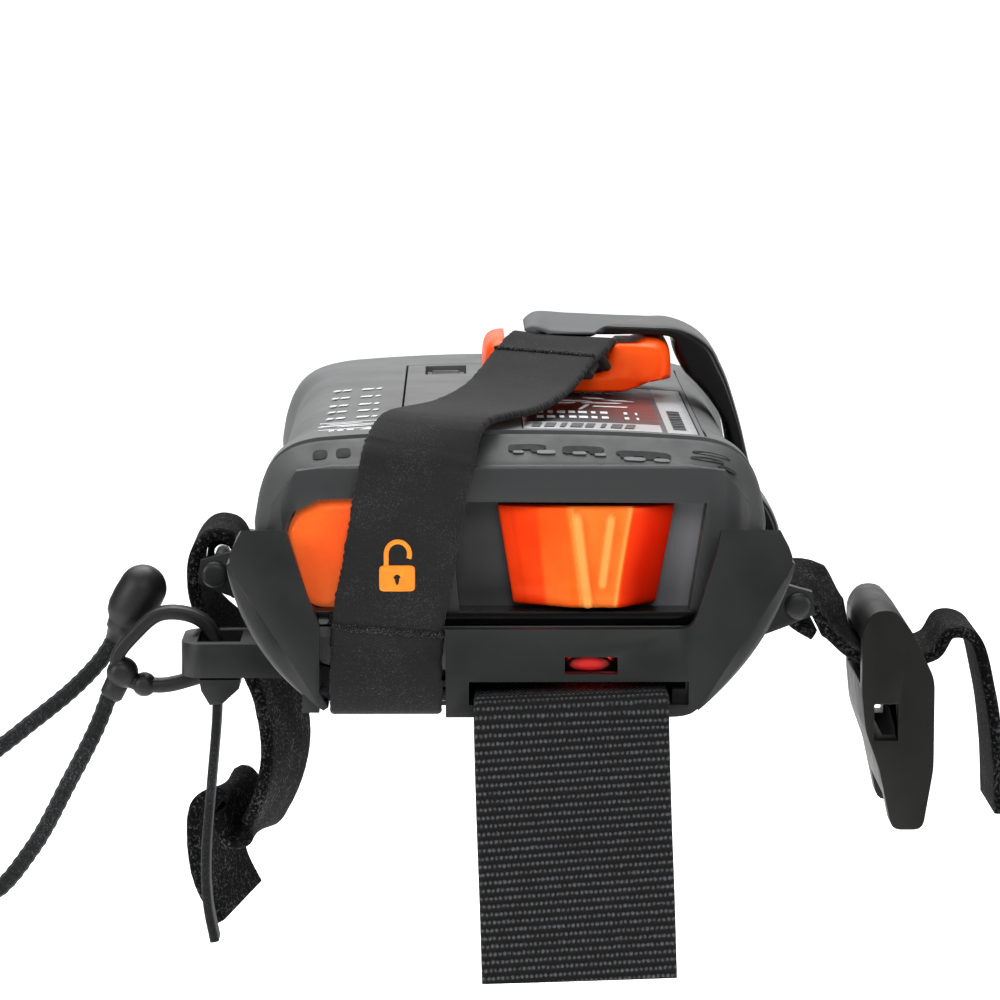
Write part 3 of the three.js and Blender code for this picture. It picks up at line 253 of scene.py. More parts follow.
# ---------------------------------------------------------------- lanyard
# A braided elastic cord leaves the rubber ring's knuckle, loops out and comes back up into a moulded bulb that
# a gloved hand can pull. The ring is one soft moulding hooked through the lug on the cradle's left.
def smooth_route(stops, count, looped=False):
    """A curve through the stops. Between two stops it is the cubic that has the stops' own slopes, each slope
    the average of the chords on both sides weighted by the square roots of their lengths. The points come out
    at equal distances along it."""
    stops = np.asarray(stops, float)
    if looped:
        stops = np.concatenate([stops[-2:], stops, stops[:3]])
    step = np.sqrt(np.linalg.norm(np.diff(stops, axis=0), axis=1))
    chord = np.diff(stops, axis=0) / step[:, None]
    slope = np.concatenate([chord[:1], (chord[:-1] * step[1:, None] + chord[1:] * step[:-1, None])
                            / (step[:-1] + step[1:])[:, None], chord[-1:]])
    if looped:
        stops, slope, step = stops[2:-2], slope[2:-2], step[2:-2]
    place = np.linspace(0, len(stops) - 1, 60 * len(stops))
    k = np.minimum(place.astype(int), len(stops) - 2)
    f, h = (place - k)[:, None], step[k][:, None]
    curve = ((1 + 2 * f) * (1 - f) ** 2 * stops[k] + f * (1 - f) ** 2 * h * slope[k]
             + f ** 2 * (3 - 2 * f) * stops[k + 1] + f ** 2 * (f - 1) * h * slope[k + 1])
    long = np.r_[0, np.cumsum(np.linalg.norm(np.diff(curve, axis=0), axis=1))]
    at = np.linspace(0, long[-1], count + 1)[:-1] if looped else np.linspace(0, long[-1], count)
    return np.stack([np.interp(at, long, curve[:, i]) for i in range(curve.shape[1])], -1)


def carry(route, across, profile, looped=False):
    """A profile carried along a route. At each point the profile's first coordinate lies along the across
    direction, made square to the route, and its second along the cross product of route and across."""
    if looped:
        ahead = np.roll(route, -1, 0) - np.roll(route, 1, 0)
    else:
        ahead = np.gradient(route, axis=0)
    ahead /= np.linalg.norm(ahead, axis=1, keepdims=True)
    across = np.broadcast_to(np.asarray(across, float), route.shape)
    across = across - (across * ahead).sum(1, keepdims=True) * ahead
    across /= np.linalg.norm(across, axis=1, keepdims=True)
    rise = np.cross(ahead, across)
    profile = np.broadcast_to(profile, (len(route), *np.shape(profile)[-2:]))
    return route[:, None] + across[:, None] * profile[..., :1] + rise[:, None] * profile[..., 1:]


def circle(count):
    """Points on a circle of radius 1."""
    angle = np.arange(count) / count * 2 * math.pi
    return np.stack([np.cos(angle), np.sin(angle)], -1)


def turned(name, profile, start, end):
    """A profile of (distance along the axis, radius) points turned round the line from start to end."""
    start, axis = np.array(start), np.subtract(end, start)
    axis = axis / np.linalg.norm(axis)
    profile = np.array(profile)
    route = start + axis * profile[:, :1]
    side = np.cross(axis, (0, 1, 0.1))
    side /= np.linalg.norm(side)
    other = np.cross(axis, side)
    ring = circle(40)
    grid = route[:, None] + (side * ring[:, :1] + other * ring[:, 1:]) * profile[:, 1][:, None, None]
    return skin(name, grid)


knot = np.array([-51.6, -38.6, 2.0]) / 1000
cord_stops = knot + np.array([
    (-1.5, 0, -2.3), (-3.6, 0, -7.6), (-7.4, 0.2, -15), (-12.4, 0.6, -24), (-18.4, 1.6, -30.6),
    (-25.4, 2.6, -31), (-28.4, 3.4, -24.6), (-23.4, 4.2, -16.4), (-14.4, 4.7, -9), (-7, 4.9, -3),
    (-3.2, 4.95, 1), (-1.3, 5, 3.9)]) / 1000
cord_route = smooth_route(cord_stops, 380)
cord_length = np.linalg.norm(np.diff(cord_route, axis=0), axis=1).sum()
cord_radius = 0.0011
around = np.arange(32) / 32 * 2 * math.pi
run = np.linspace(0, cord_length, len(cord_route))[:, None]
# The braid: two sets of eight strands cross in diamonds, so the radius swells where they lie on top.
braid = 1 + 0.09 * np.cos(4 * around + run * 2200) * np.cos(4 * around - run * 2200)
cord_profile = np.stack([np.cos(around) * braid, np.sin(around) * braid], -1) * cord_radius * 0.97
cord = skin("braided_cord", carry(cord_route, (0, 1, 0), cord_profile))


def fabric(name, colour, fleck, thread=0.0004, depth=0.00004, amount=0.5, fuzz=0.25, stretch=(1, 1, 1), shine=0.2):
    """Cloth with a nap: short light fibres scattered over a dark ground, a bumpy surface of the thread's size,
    and a soft sheen at grazing angles."""
    material, tree, shader, where = blank_finish(name, Sheen_Weight=fuzz, Sheen_Roughness=0.5, Specular_IOR_Level=shine)
    drawn = node(tree, "Mapping", {"Vector": where, "Scale": stretch}).outputs["Vector"]
    fibre = noise(tree, drawn, thread, 3, 0.7)
    cloud = noise(tree, where, 0.006, 3)
    speck = summed(tree, fibre, spread(tree, cloud, -0.05, 0.05))
    dress(tree, shader, ramp(tree, speck, [(0.35, hue(colour)), (0.6 - 0.1 * amount, hue(colour)), (0.78, hue(fleck))]),
          spread(tree, fibre, 0.8, 0.98), fibre, depth, 0.9)
    return material


cord_cover = fabric("braid_black", "141516", "55575b", thread=0.00025, amount=0.6, fuzz=0.1)
fit(cord, cord_cover, "lanyard", "lanyard_cord", slot="webbing")

soft_black = moulded("soft_black_rubber", "0f0f10", 0.5, grain=0.0004, depth=0.00001, patch=0.006, wear=0.25,
                     Specular_IOR_Level=0.4)
bulb_low, bulb_high = knot + np.array((-0.9, 5, 4.6)) / 1000, knot + np.array((4, 5, 13.4)) / 1000
dome = np.linspace(0, math.pi / 2, 12)
bulb_profile = np.concatenate([
    [(-0.0013, 0.0003), (-0.0013, 0.0012), (0, 0.0016), (0.0002, 0.0019), (0.0011, 0.0021), (0.0014, 0.0022),
     (0.0022, 0.00285), (0.0034, 0.0032), (0.0052, 0.0033)],
    np.stack([0.0069 + 0.0032 * np.sin(dome), 0.00001 + 0.0032 * np.cos(dome)], -1)])
bulb = fit(turned("cord_bulb", bulb_profile, bulb_low, bulb_high), soft_black, "lanyard", "cord_grip",
           slot="soft_rubber")

lug_left = -0.0433
ring_line = np.array([(4.2, 8.6), (1.4, 10.6), (-3.4, 10.9), (-7.2, 8), (-10, 3.6), (-8.4, 0.6), (-3.6, -0.7),
                      (1, 0.2), (3.8, 1.6), (5.4, 4.6)]) / 1000
inward = np.array((-0.0024, 0.0049)) - ring_line * (1, 1)
ring_line = ring_line + inward / np.linalg.norm(inward, axis=1, keepdims=True) * 0.001
ring_stops = np.stack([lug_left + ring_line[:, 0], np.full(10, -0.0386), ring_line[:, 1]], -1)
# A rounded square section with a shallow groove along the middle of its outer side.
face_turn = circle(28)
ring_section = np.sign(face_turn) * np.abs(face_turn) ** 0.55 * (0.0015, 0.00095)
ring_section[:, 1] *= 1 - 0.3 * np.exp(-(ring_section[:, 0] / 0.0003) ** 2) * (face_turn[:, 1] < 0)
ring = skin("lanyard_loop", carry(smooth_route(ring_stops, 150, True), (0, 1, 0), ring_section, True), looped=True)
fit(ring, soft_black, "lanyard", "lanyard_ring", slot="soft_rubber")
for label, place, reach, wide in (("knuckle", (0, 0), 0.0022, 0.0021), ("knuckle_side", (2.9, -1.6), 0.0019, 0.0016)):
    middle = knot + np.array((place[0], 0, place[1])) / 1000
    rise = np.linspace(0, math.pi, 18)
    barrel = np.stack([reach - reach * np.cos(rise), 0.00002 + wide * np.sin(rise) ** 0.6], -1)
    fit(turned(f"cord_{label}", barrel, middle - (0, reach, 0), middle + (0, reach, 0)), soft_black, "lanyard",
        slot="soft_rubber")
collar = [(0, 0.0011), (0.0005, 0.0016), (0.0028, 0.00155), (0.0033, 0.0012)]
fit(turned("cord_collar", collar, knot + (-0.0003, 0, -0.0005), knot + (-0.0019, 0, -0.0038)), soft_black, "lanyard",
    slot="soft_rubber")


# ---------------------------------------------------------------- cradle
# One black injection moulding: a floor, low walls, two wings at the switch end, ears for the pins and a lug
# for the lanyard. Every edge is broken, so that it doesn't cut the harness.
def rounded_copy(source, name, width, angle=28, segments=3):
    """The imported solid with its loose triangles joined, flat areas made single faces, and each edge sharper
    than the angle rounded to the width."""
    work = bmesh.new()
    work.from_mesh(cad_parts[source].data)
    bmesh.ops.remove_doubles(work, verts=work.verts, dist=2e-6)
    bmesh.ops.dissolve_limit(work, angle_limit=math.radians(1.5), verts=work.verts, edges=work.edges)
    mesh = bpy.data.meshes.new(name)
    work.to_mesh(mesh)
    work.free()
    mesh.shade_smooth()
    piece = bpy.data.objects.new(name, mesh)
    scene.collection.objects.link(piece)
    round_edges(piece, width, angle, segments)
    return piece


def round_edges(piece, width, angle=28, segments=3):
    """A bevel on every edge sharper than the angle, with the flats' shading kept flat."""
    bevel = piece.modifiers.new("rounded_edges", "BEVEL")
    bevel.width, bevel.segments = width, segments
    bevel.limit_method, bevel.angle_limit = "ANGLE", math.radians(angle)
    bevel.use_clamp_overlap = True
    bevel.harden_normals = True
    return piece


satin_black = moulded("satin_black_moulding", "191a1a", 0.42, grain=0.0005, depth=0.000008, patch=0.02, wear=0.14,
                      Specular_IOR_Level=0.35)
cradle = fit(rounded_copy("cradle", "cradle_moulding", 0.0009), satin_black, "cradle_and_unit", "cradle",
             slot="black_plastic")
# The flanks swell out between the floor's edge and the walls' top, and blend into the front wall.
flank_y = np.r_[-0.06195, -0.0616, -0.0610, -0.0602, np.linspace(-0.0592, 0.0592, 90), 0.0600, 0.0605]
wall_top = 0.0130 + 0.0068 * (1 - ease((flank_y + 0.0555) / 0.009)) - 0.0038 * ease((flank_y - 0.033) / 0.012)
swell = np.interp(flank_y, (-0.06195, -0.0616, -0.061, -0.0602, 0.058, 0.0605), (0.62, 0.8, 0.93, 1, 1, 0.5))
s_out = np.linspace(0, 1, 25)
reach_up = (wall_top[:, None] - 0.0009) / 0.0192 * np.r_[s_out, s_out[::-1]]
proud_by = np.r_[np.sin(math.pi * s_out) ** 0.75, np.full(25, -0.33)]
for label, side, most in (("left", -1, 0.0026), ("right", 1, 0.0020)):
    off = np.where(proud_by > 0, proud_by * most * swell[:, None], proud_by * 0.0024)
    flank = np.stack([side * (0.0241 + 0.0125 * reach_up + 0.838 * off), np.broadcast_to(flank_y[:, None], off.shape),
                      0.0009 + 0.0192 * reach_up - 0.546 * off], -1)
    fit(skin(f"{label}_flank", flank), satin_black, "cradle_and_unit", slot="black_plastic")
foam_black = moulded("closed_cell_foam", "1c1c1d", 0.95, grain=0.0006, depth=0.00006, patch=0.004, wear=0.3)
fit(rounded_copy("cradle_pad", "foam_pad", 0.0003), foam_black, "cradle_and_unit", "cradle_pad", slot="foam")


def metal(name, colour, roughness, stretch=(40, 1, 40)):
    """Drawn or rolled metal: fine lines along one direction in its gloss and bump."""
    material, tree, shader, where = blank_finish(name, Metallic=1.0)
    drawn = node(tree, "Mapping", {"Vector": where, "Scale": stretch}).outputs["Vector"]
    lines = noise(tree, drawn, 0.004, 3)
    base = np.array(hue(colour))
    dress(tree, shader, ramp(tree, lines, [(0.3, (*base[:3] * 0.75, 1)), (0.7, base)]),
          spread(tree, lines, roughness - 0.08, roughness + 0.1), lines, 0.000008, 0.6)
    return material


def refinish(material, *names):
    """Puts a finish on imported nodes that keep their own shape."""
    for name in names:
        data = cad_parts[name].data
        data.materials.clear()
        data.materials.append(material)


refinish(metal("blacked_steel", "2c2d2f", 0.4, (1, 40, 40)), "strap_bar")
refinish(metal("drawn_steel", "55575a", 0.36, (40, 1, 40)), "left_strap_pin", "right_strap_pin", "arm_pin")
cap = np.linspace(0, math.pi / 2, 8)
for label, x, z, y, reach in (("left", -0.0395, 0.0144, -0.0333, 0.0018), ("right", 0.039, 0.010, -0.0333, 0.0018),
                              ("arm", 0.0361, 0.0146, -0.0102, 0.0019)):
    head = np.stack([0.0007 * np.sin(cap), 0.00002 + reach * np.cos(cap) ** 0.5], -1)
    fit(turned(f"{label}_pin_head", head, (x, y, z), (x, y - 0.001, z)), satin_black, "cradle_and_unit",
        slot="black_plastic")


# ---------------------------------------------------------------- electronics
# Inside the unit: a green circuit board between the display module and the battery tray, three ferrite
# antennas at right angles, three cells between plated contact strips, and the speaker.
def printed_board(name):
    """Solder mask with faint copper tracks under it: the edges of square cells show as lighter lines."""
    material, tree, shader, where = blank_finish(name, Coat_Weight=0.4, Coat_Roughness=0.2)
    cells = node(tree, "TexVoronoi", {"Vector": where, "Scale": 240.0}, distance="CHEBYCHEV", feature="F1")
    dress(tree, shader, ramp(tree, cells.outputs["Distance"], [(0.3, hue("124a28")), (0.55, hue("1f6a3c"))]),
          spread(tree, noise(tree, where, 0.003), 0.35, 0.5), cells.outputs["Distance"], 0.00003, 0.4)
    return material


def cell_wrap(name):
    """A shrunk plastic sleeve: dark over most of the cell and copper-coloured at its far end."""
    material, tree, shader, where = blank_finish(name, Coat_Weight=0.6, Coat_Roughness=0.12)
    place = node(tree, "SeparateXYZ", {"Vector": where}).outputs["Y"]
    share = between(tree, place, -0.043, 0.002)
    dress(tree, shader, ramp(tree, share, [(0.66, hue("1b1b1d")), (0.68, hue("b06f2a"))]),
          spread(tree, noise(tree, where, 0.002), 0.25, 0.4), noise(tree, where, 0.004), 0.00003)
    return material


refinish(printed_board("solder_mask"), "main_board")
refinish(cell_wrap("cell_sleeve"), "battery_1", "battery_2", "battery_3")
refinish(metal("plated_strip", "b9b4a4", 0.25), "contact_plate_near", "contact_plate_far")
refinish(metal("screw_steel", "a9abad", 0.3, (10, 10, 10)), "shell_screw_1", "shell_screw_2", "shell_screw_3",
         "shell_screw_4", "selector_magnet")
refinish(metal("speaker_can", "6d7073", 0.35, (8, 8, 8)), "speaker")
refinish(moulded("ferrite_rod", "2c2a29", 0.55, grain=0.0002, depth=0.00002, patch=0.003), "antenna_long",
         "antenna_cross", "antenna_vertical")
refinish(moulded("tray_black", "1f2021", 0.55, grain=0.0004, depth=0.00001, patch=0.01), "battery_tray")
refinish(moulded("gasket_rubber", "1e1e1f", 0.8, grain=0.0003, depth=0.00001, patch=0.005), "shell_gasket",
         "keypad_mat")
refinish(moulded("dark_display_glass", "0d1113", 0.12, grain=0.002, depth=0.000002, patch=0.02, Coat_Weight=1.0),
         "display_module", "display_window")


# ---------------------------------------------------------------- unit shells
# The unit is two moulded halves screwed together round a gasket. The back half is crowned, rounds over into
# its sides and its far end, and draws in along a waist that a hand closes on.
half_width, parting, crown = 0.0332, 0.0216, 0.0359
side_line = np.array([(32.44, 21.6), (33.0, 22.6), (33.2, 23.9), (32.95, 26), (32.5, 28.3), (31.6, 30.7),
                      (30.2, 32.7), (28.2, 34.1), (25.6, 34.85), (22.6, 35.15), (17, 35.5), (9, 35.8), (0, 35.9)])
section = smooth_route(np.c_[np.r_[side_line, side_line[-2::-1] * (-1, 1)], np.zeros(25)] / 1000, 161)[:, :2]


def back_height(x):
    """The height of the crowned back at a distance to the side."""
    return np.interp(-np.abs(x), -section[:81, 0], section[:81, 1])


def unit_back(y, lift=0.0):
    """The back half's outer surface at each station y: the cross-section, with its sides drawn in along the
    waist and round the corners of the plan, and its top brought down round the two ends. lift moves it out."""
    y = y[:, None]
    x, z = section[:, 0], section[:, 1]
    waist = 0.0016 * ease((y + 0.046) / 0.009) * (1 - ease((y - 0.03) / 0.011))
    far = np.clip((y - 0.047) / 0.011, 0, 1)
    near = np.clip((-0.052 - y) / 0.006, 0, 1)
    narrow = waist + 0.011 * (1 - np.sqrt(1 - far ** 2)) + 0.006 * (1 - np.sqrt(1 - near ** 2))
    far_top = np.clip((y - 0.0535) / 0.0045, 0, 1)
    drop = 0.0047 * (1 - np.sqrt(1 - far_top ** 2)) + 0.0041 * np.clip((-0.0512 - y) / 0.0064, 0, 1)
    share = np.clip((z - 0.0236) / (crown - 0.0236), 0, 1)
    return np.stack([x - np.sign(x) * (narrow - lift) * np.clip(np.abs(x) / 0.021, 0, 1),
                     y + 0 * x, z - drop * share + lift * ease(share)], -1)


def far_face(last, lift=0.0):
    """Closes the far end: the last station's section carried down to the parting line."""
    down = np.linspace(0, 1, 9)[1:, None, None]
    flat = last[None] * (1, 1, 0) + (0, 0, parting)
    return last[None] * (1 - down) + flat * down


def cut(piece, low=None, high=None, hole=None):
    """Trims a mesh to a box given by its low and high corners (None leaves a side open), or opens a hole of
    that box in it. Coordinates are kept, so nothing is moved."""
    work = bmesh.new()
    work.from_mesh(piece.data)
    sides = [(axis, value, sign) for corner, sign in ((low, -1), (high, 1)) if corner is not None
             for axis, value in enumerate(corner) if value is not None]
    for axis, value, sign in sides:
        place, normal = [0, 0, 0], [0, 0, 0]
        place[axis], normal[axis] = value, sign
        bmesh.ops.bisect_plane(work, geom=work.verts[:] + work.edges[:] + work.faces[:], dist=1e-7, plane_co=place,
                               plane_no=normal, clear_outer=not hole)
    if hole:
        inside = [f for f in work.faces if all(sign * (f.calc_center_median()[axis] - value) < 0
                                               for axis, value, sign in sides)]
        bmesh.ops.delete(work, geom=inside, context="FACES")
    work.to_mesh(piece.data)
    work.free()
    return piece


def thicken(piece, thickness):
    """A wall of the given thickness behind an open surface."""
    wall = piece.modifiers.new("wall", "SOLIDIFY")
    wall.thickness, wall.offset = thickness, -1
    wall.use_even_offset = False
    return piece


door_low, door_high = (-0.0142, -0.0496, 0.03), (0.0254, 0.0376, None)
far_turn = np.sin(np.linspace(0, 1, 20) * math.pi / 2)
stations = np.r_[np.linspace(-0.0509, 0.047, 60), 0.047 + 0.011 * far_turn[1:]]
back_grid = unit_back(stations)
back_grid = np.concatenate([back_grid, far_face(back_grid[-1])])
back = skin("rear_shell", back_grid, closed=False, facing=(0, 0, 1))
cut(back, (door_low[0] - 0.0003, door_low[1] - 0.0003, 0.03), (door_high[0] + 0.0003, door_high[1] + 0.0003, None),
    hole=True)
grey_moulding = moulded("grey_fine_texture", "4f5051", 0.55, grain=0.00045, depth=0.000016, patch=0.03, wear=0.08)
fit(round_edges(thicken(back, 0.0017), 0.00025, 40), grey_moulding, "cradle_and_unit", "rear_cover",
    slot="grey_plastic")
fit(rounded_copy("front_shell", "front_half", 0.0004), grey_moulding, "cradle_and_unit", "front_shell",
    slot="grey_plastic")


# ---------------------------------------------------------------- battery door, latch and label
# A flush door over the cells, held by a small sliding latch with three ridges. A glossy printed label is let
# into it: a pale strip at each edge and a dark panel between, which carries a painted red reflection of the
# hook, with rows of plain marks.
def back_sheet(name, low, high, lift=0.0, step=0.001):
    """A sheet that lies on the crowned back between two corners (x, y), raised by lift."""
    x = np.linspace(low[0], high[0], max(2, int((high[0] - low[0]) / step) + 1))
    y = np.linspace(low[1], high[1], max(2, int((high[1] - low[1]) / step) + 1))
    x, y = np.meshgrid(x, y)
    return skin(name, np.stack([x, y, back_height(x) + lift], -1), closed=False, facing=(0, 0, 1))


label_low, label_high = (0.0018, -0.0486), (0.0246, 0.0064)
door = back_sheet("battery_door_plate", door_low[:2], door_high[:2])
cut(door, (label_low[0] - 0.0002, label_low[1] - 0.0002, 0.03), (label_high[0] + 0.0002, label_high[1] + 0.0002, None),
    hole=True)
cut(door, (-0.0116, 0.0233, 0.03), (-0.0056, 0.0359, None), hole=True)
fit(round_edges(thicken(door, 0.0013), 0.0002, 40), grey_moulding, "cradle_and_unit", "battery_door",
    slot="grey_plastic")
fit(rounded_copy("battery_latch", "door_latch", 0.00015), satin_black, "latch", "battery_latch",
    slot="black_plastic")


def label_finish(name):
    """Gloss print: a pale strip along the near edge and the right edge, and between them a dark printed panel
    with a painted red reflection of the hook, running from black at the left to dark red at the right, lighter
    away from the switch end."""
    material, tree, shader, where = blank_finish(name, Coat_Weight=0.1, Coat_Roughness=0.3, Specular_IOR_Level=0.3)
    place = node(tree, "SeparateXYZ", {"Vector": where})
    cross = between(tree, place.outputs["X"], label_low[0], label_high[0])
    deep = between(tree, place.outputs["Y"], label_low[1], label_high[1])
    # The red across the panel is a painted reflection of the hook; the black under it is print.
    painted_light = summed(tree, cross, deep)
    half = node(tree, "Math", {0: painted_light, 1: 0.5}, operation="MULTIPLY").outputs[0]
    panel_with_painted_reflection = ramp(tree, half, [(0.2, hue("121112")), (0.4, hue("280d0e")), (0.6, hue("5c1a19")), (0.8, hue("6c201d"))])
    pale, rim = hue("a3a5a7"), hue("3c3d3e")
    strip = ramp(tree, cross, [(0.795, grey(0)), (0.797, grey(0.5)), (0.825, grey(0.5)), (0.827, grey(1))])
    near = ramp(tree, deep, [(0.15, grey(1)), (0.155, grey(0))])
    first = node(tree, "MixRGB", {"Fac": near, "Color1": panel_with_painted_reflection, "Color2": pale}).outputs[0]
    is_edge = node(tree, "Math", {0: strip, 1: 0.25}, operation="GREATER_THAN").outputs[0]
    is_pale = node(tree, "Math", {0: strip, 1: 0.75}, operation="GREATER_THAN").outputs[0]
    second = node(tree, "MixRGB", {"Fac": is_edge, "Color1": first, "Color2": rim}).outputs[0]
    third = node(tree, "MixRGB", {"Fac": is_pale, "Color1": second, "Color2": pale}).outputs[0]
    dress(tree, shader, third, spread(tree, noise(tree, where, 0.004, 4), 0.36, 0.5), noise(tree, where, 0.006),
          0.00003, 0.3)
    return material


label = thicken(back_sheet("label_sheet", label_low, label_high, -0.00005), 0.0003)
fit(label, label_finish("label_print_painted_reflection"), "cradle_and_unit", "back_label", slot="label")


def marks(name, boxes, lift, height=None, unit=np.array([(-1, -1), (1, -1), (1, 1), (-1, 1)]) / 2):
    """Thin marks, print or painted shadow and highlight, each a flat patch (middle x, middle y, length, width,
    lean) on the crowned back or, with height given, on the sloping rim; unit is the patch's outline at size one."""
    boxes = np.array(boxes, float) / 1000
    lean = boxes[:, 4] * 1000
    x = boxes[:, :1] + unit[:, 0] * boxes[:, 2:3] + unit[:, 1] * boxes[:, 3:4] * lean[:, None]
    y = boxes[:, 1:2] + unit[:, 1] * boxes[:, 3:4]
    z = (height or (lambda x, y: back_height(x)))(x, y) + lift
    top = np.stack([x, y, z], -1).reshape(-1, 3)
    index = np.arange(len(top)).reshape(-1, len(unit))
    mesh = bpy.data.meshes.new(name)
    mesh.from_pydata(top.tolist(), [], index.tolist())
    piece = bpy.data.objects.new(name, mesh)
    scene.collection.objects.link(piece)
    return piece


def ink(name, colour, roughness=0.45):
    """Screen-printed ink with a slightly worn, uneven edge of shade."""
    return moulded(name, colour, roughness, grain=0.0002, depth=0.000004, patch=0.0012, wear=0.12)


white_ink, dark_ink = ink("white_print", "d9dadb"), ink("dark_print", "26272a")
blocks = [(3.6 + 1.75 * i, -44.4, w, 4.6, 0.1) for i, w in enumerate((1.1, 1.3, 0.7, 1.5, 1.1, 0.6, 1.4, 1.2))]
lengths = (1.2, 0.8, 1.4, 1.1, 1.5, 0.9, 1.3, 1.0, 0.7, 1.4, 1.2)
uprights = [(22.4, -44 + 2.1 * i, 1.7, w, 0) for i, w in enumerate(lengths)]
fit(thicken(marks("label_dark_marks", blocks + uprights, 0.00006), 0.00006), dark_ink, "cradle_and_unit",
    slot="label")
rows = [(4.2 + 1.45 * i, y, w, 2.4, 0) for y, widths in ((-34.6, (0.9, 1.1, 0.6, 1, 1.2, 0.8, 0.9, 0, 0.6, 0.3)),
                                                       (-28.6, (1, 0.7, 1.1, 0.9, 1.2, 0.6, 1, 0, 0.5, 0.3)))
        for i, w in enumerate(widths) if w]
shapes = [(6.5, -17, 4.4, 1.2, 1.0), (9.4, -14, 3.6, 1.1, -0.9), (13, -16, 4.6, 1.2, 0.8), (15.4, -12.4, 3, 1.1, -1.2),
          (10.4, -21.6, 0.5, 6, 0.2), (14, -20.6, 4.6, 1.1, 0.3), (6.4, -9.6, 2.6, 1.1, 0.4), (12, -10, 2.2, 1.4, -0.5)]
tail_rows = [(4.2 + 1.45 * i, y, 1.0, 1.6, 0) for y in (-3, 2) for i in range(8)]
fit(thicken(marks("label_light_marks", rows + shapes + tail_rows, 0.00006), 0.00006), white_ink, "cradle_and_unit",
    slot="label")
table = [(-21, -35.2, 8.4, 0.5, 0), (-21, -43, 8.4, 0.5, 0), (-18.4, -44.8, 1.6, 1.6, 0.6), (-20.9, -44.8, 0.9, 1.2, 0),
         (-22.2, -44.8, 0.8, 1.2, 0), (-23.4, -44.8, 0.7, 1.2, 0), (-21.4, -38.9, 7.4, 0.7, 0.9),
         (-20.2, -40.6, 4.4, 0.7, 1.3), (-21.8, -37.2, 4, 0.7, 1.3)]
table += [(x, y, w, 1.5, 0.2) for y in (-30, -22, -14, -4, 6)
          for x, w in ((-24, 0.9), (-22.6, 1.2), (-19.6, 1.6), (-18, 0.7))]
fit(thicken(marks("cover_pictograms", table, 0.00005), 0.00005), white_ink, "cradle_and_unit", slot="grey_plastic")


# ---------------------------------------------------------------- rubber hoop
# A thick rubber hoop is moulded over the switch end and takes the knocks. It slopes back from the end frame
# to the cover, with two drain pockets at the left and a row of moulded grips at the right, drawn as flat
# patches: dark ones of painted shadow, and paler lips of painted highlight.
hoop_rows = np.r_[np.linspace(-0.0577, -0.0536, 10), np.linspace(-0.0532, -0.0514, 6)]
hoop_grid = unit_back(hoop_rows)
rolled = ease((hoop_rows + 0.0577) / 0.0008) * ease((-0.0513 - hoop_rows) / 0.0006)
hoop_grid[..., 2] -= (0.0005 * (1 - rolled))[:, None]
hoop = skin("rubber_hoop", hoop_grid, closed=False, facing=(0, 0, 1))
hoop_black = moulded("hoop_rubber", "373838", 0.62, grain=0.0004, depth=0.00002, patch=0.01, wear=0.12)
fit(round_edges(thicken(hoop, 0.0019), 0.0003, 40), hoop_black, "cradle_and_unit", "bumper_rim", slot="hoop_rubber")


def rim_height(x, y):
    """The height of the hoop's slope: the crown, brought down towards the end frame."""
    return back_height(x) - 0.0041 * np.clip((-0.0512 - y) / 0.0064, 0, 1)


dents = [(2.2, -54.3, 4.8, 0.9), (0.6, -54.5, 1.8, 1.2), (3.4, -54.7, 1.6, 1.0), (9.4, -54.5, 5.4, 0.9),
         (7.6, -54.8, 1.8, 1.1), (11, -54.9, 1.7, 1.0), (17, -55, 6.8, 0.9), (15, -55.4, 1.8, 1.0),
         (18, -55.5, 1.7, 0.9),
         (20, -55.3, 1.4, 0.9), (26, -54.1, 5, 0.5), (25.4, -55.1, 4.4, 0.6), (28, -55.9, 2.4, 0.5),
         (-24.6, -54.4, 1.9, 1.6),
         (-21.6, -54.4, 1.9, 1.6), (-18.9, -54.7, 0.9, 0.5)]
lips = [(4.6, -55.2, 2.4, 0.6), (8.9, -55.3, 1.8, 0.5), (11.6, -55.5, 1.5, 0.4), (16, -56, 2.8, 0.6),
        (19.5, -56, 2.1, 0.5), (1, -55.2, 1.4, 0.4)]
soft_square = circle(16)
soft_square = np.sign(soft_square) * np.abs(soft_square) ** 0.6 / 2
# The dents are flat dark patches of painted shadow, and their lips paler patches of painted highlight.
shadow_rubber = moulded("hoop_recess_painted_shadow", "141515", 0.8, grain=0.0003, depth=0.00001, patch=0.004)
lip_painted_highlight = moulded("hoop_lip_painted_highlight", "5c5e5f", 0.6, grain=0.0003, depth=0.00001, patch=0.004, wear=0.3)
for label, places, lift, finish in (("hoop_dents", dents, 0.0002, shadow_rubber),
                                    ("hoop_dent_lips", lips, 0.00026, lip_painted_highlight)):
    flat = [(*place, 0) for place in places]
    fit(thicken(marks(label, flat, lift, rim_height, soft_square), 0.00012), finish, "cradle_and_unit",
        slot="hoop_rubber")


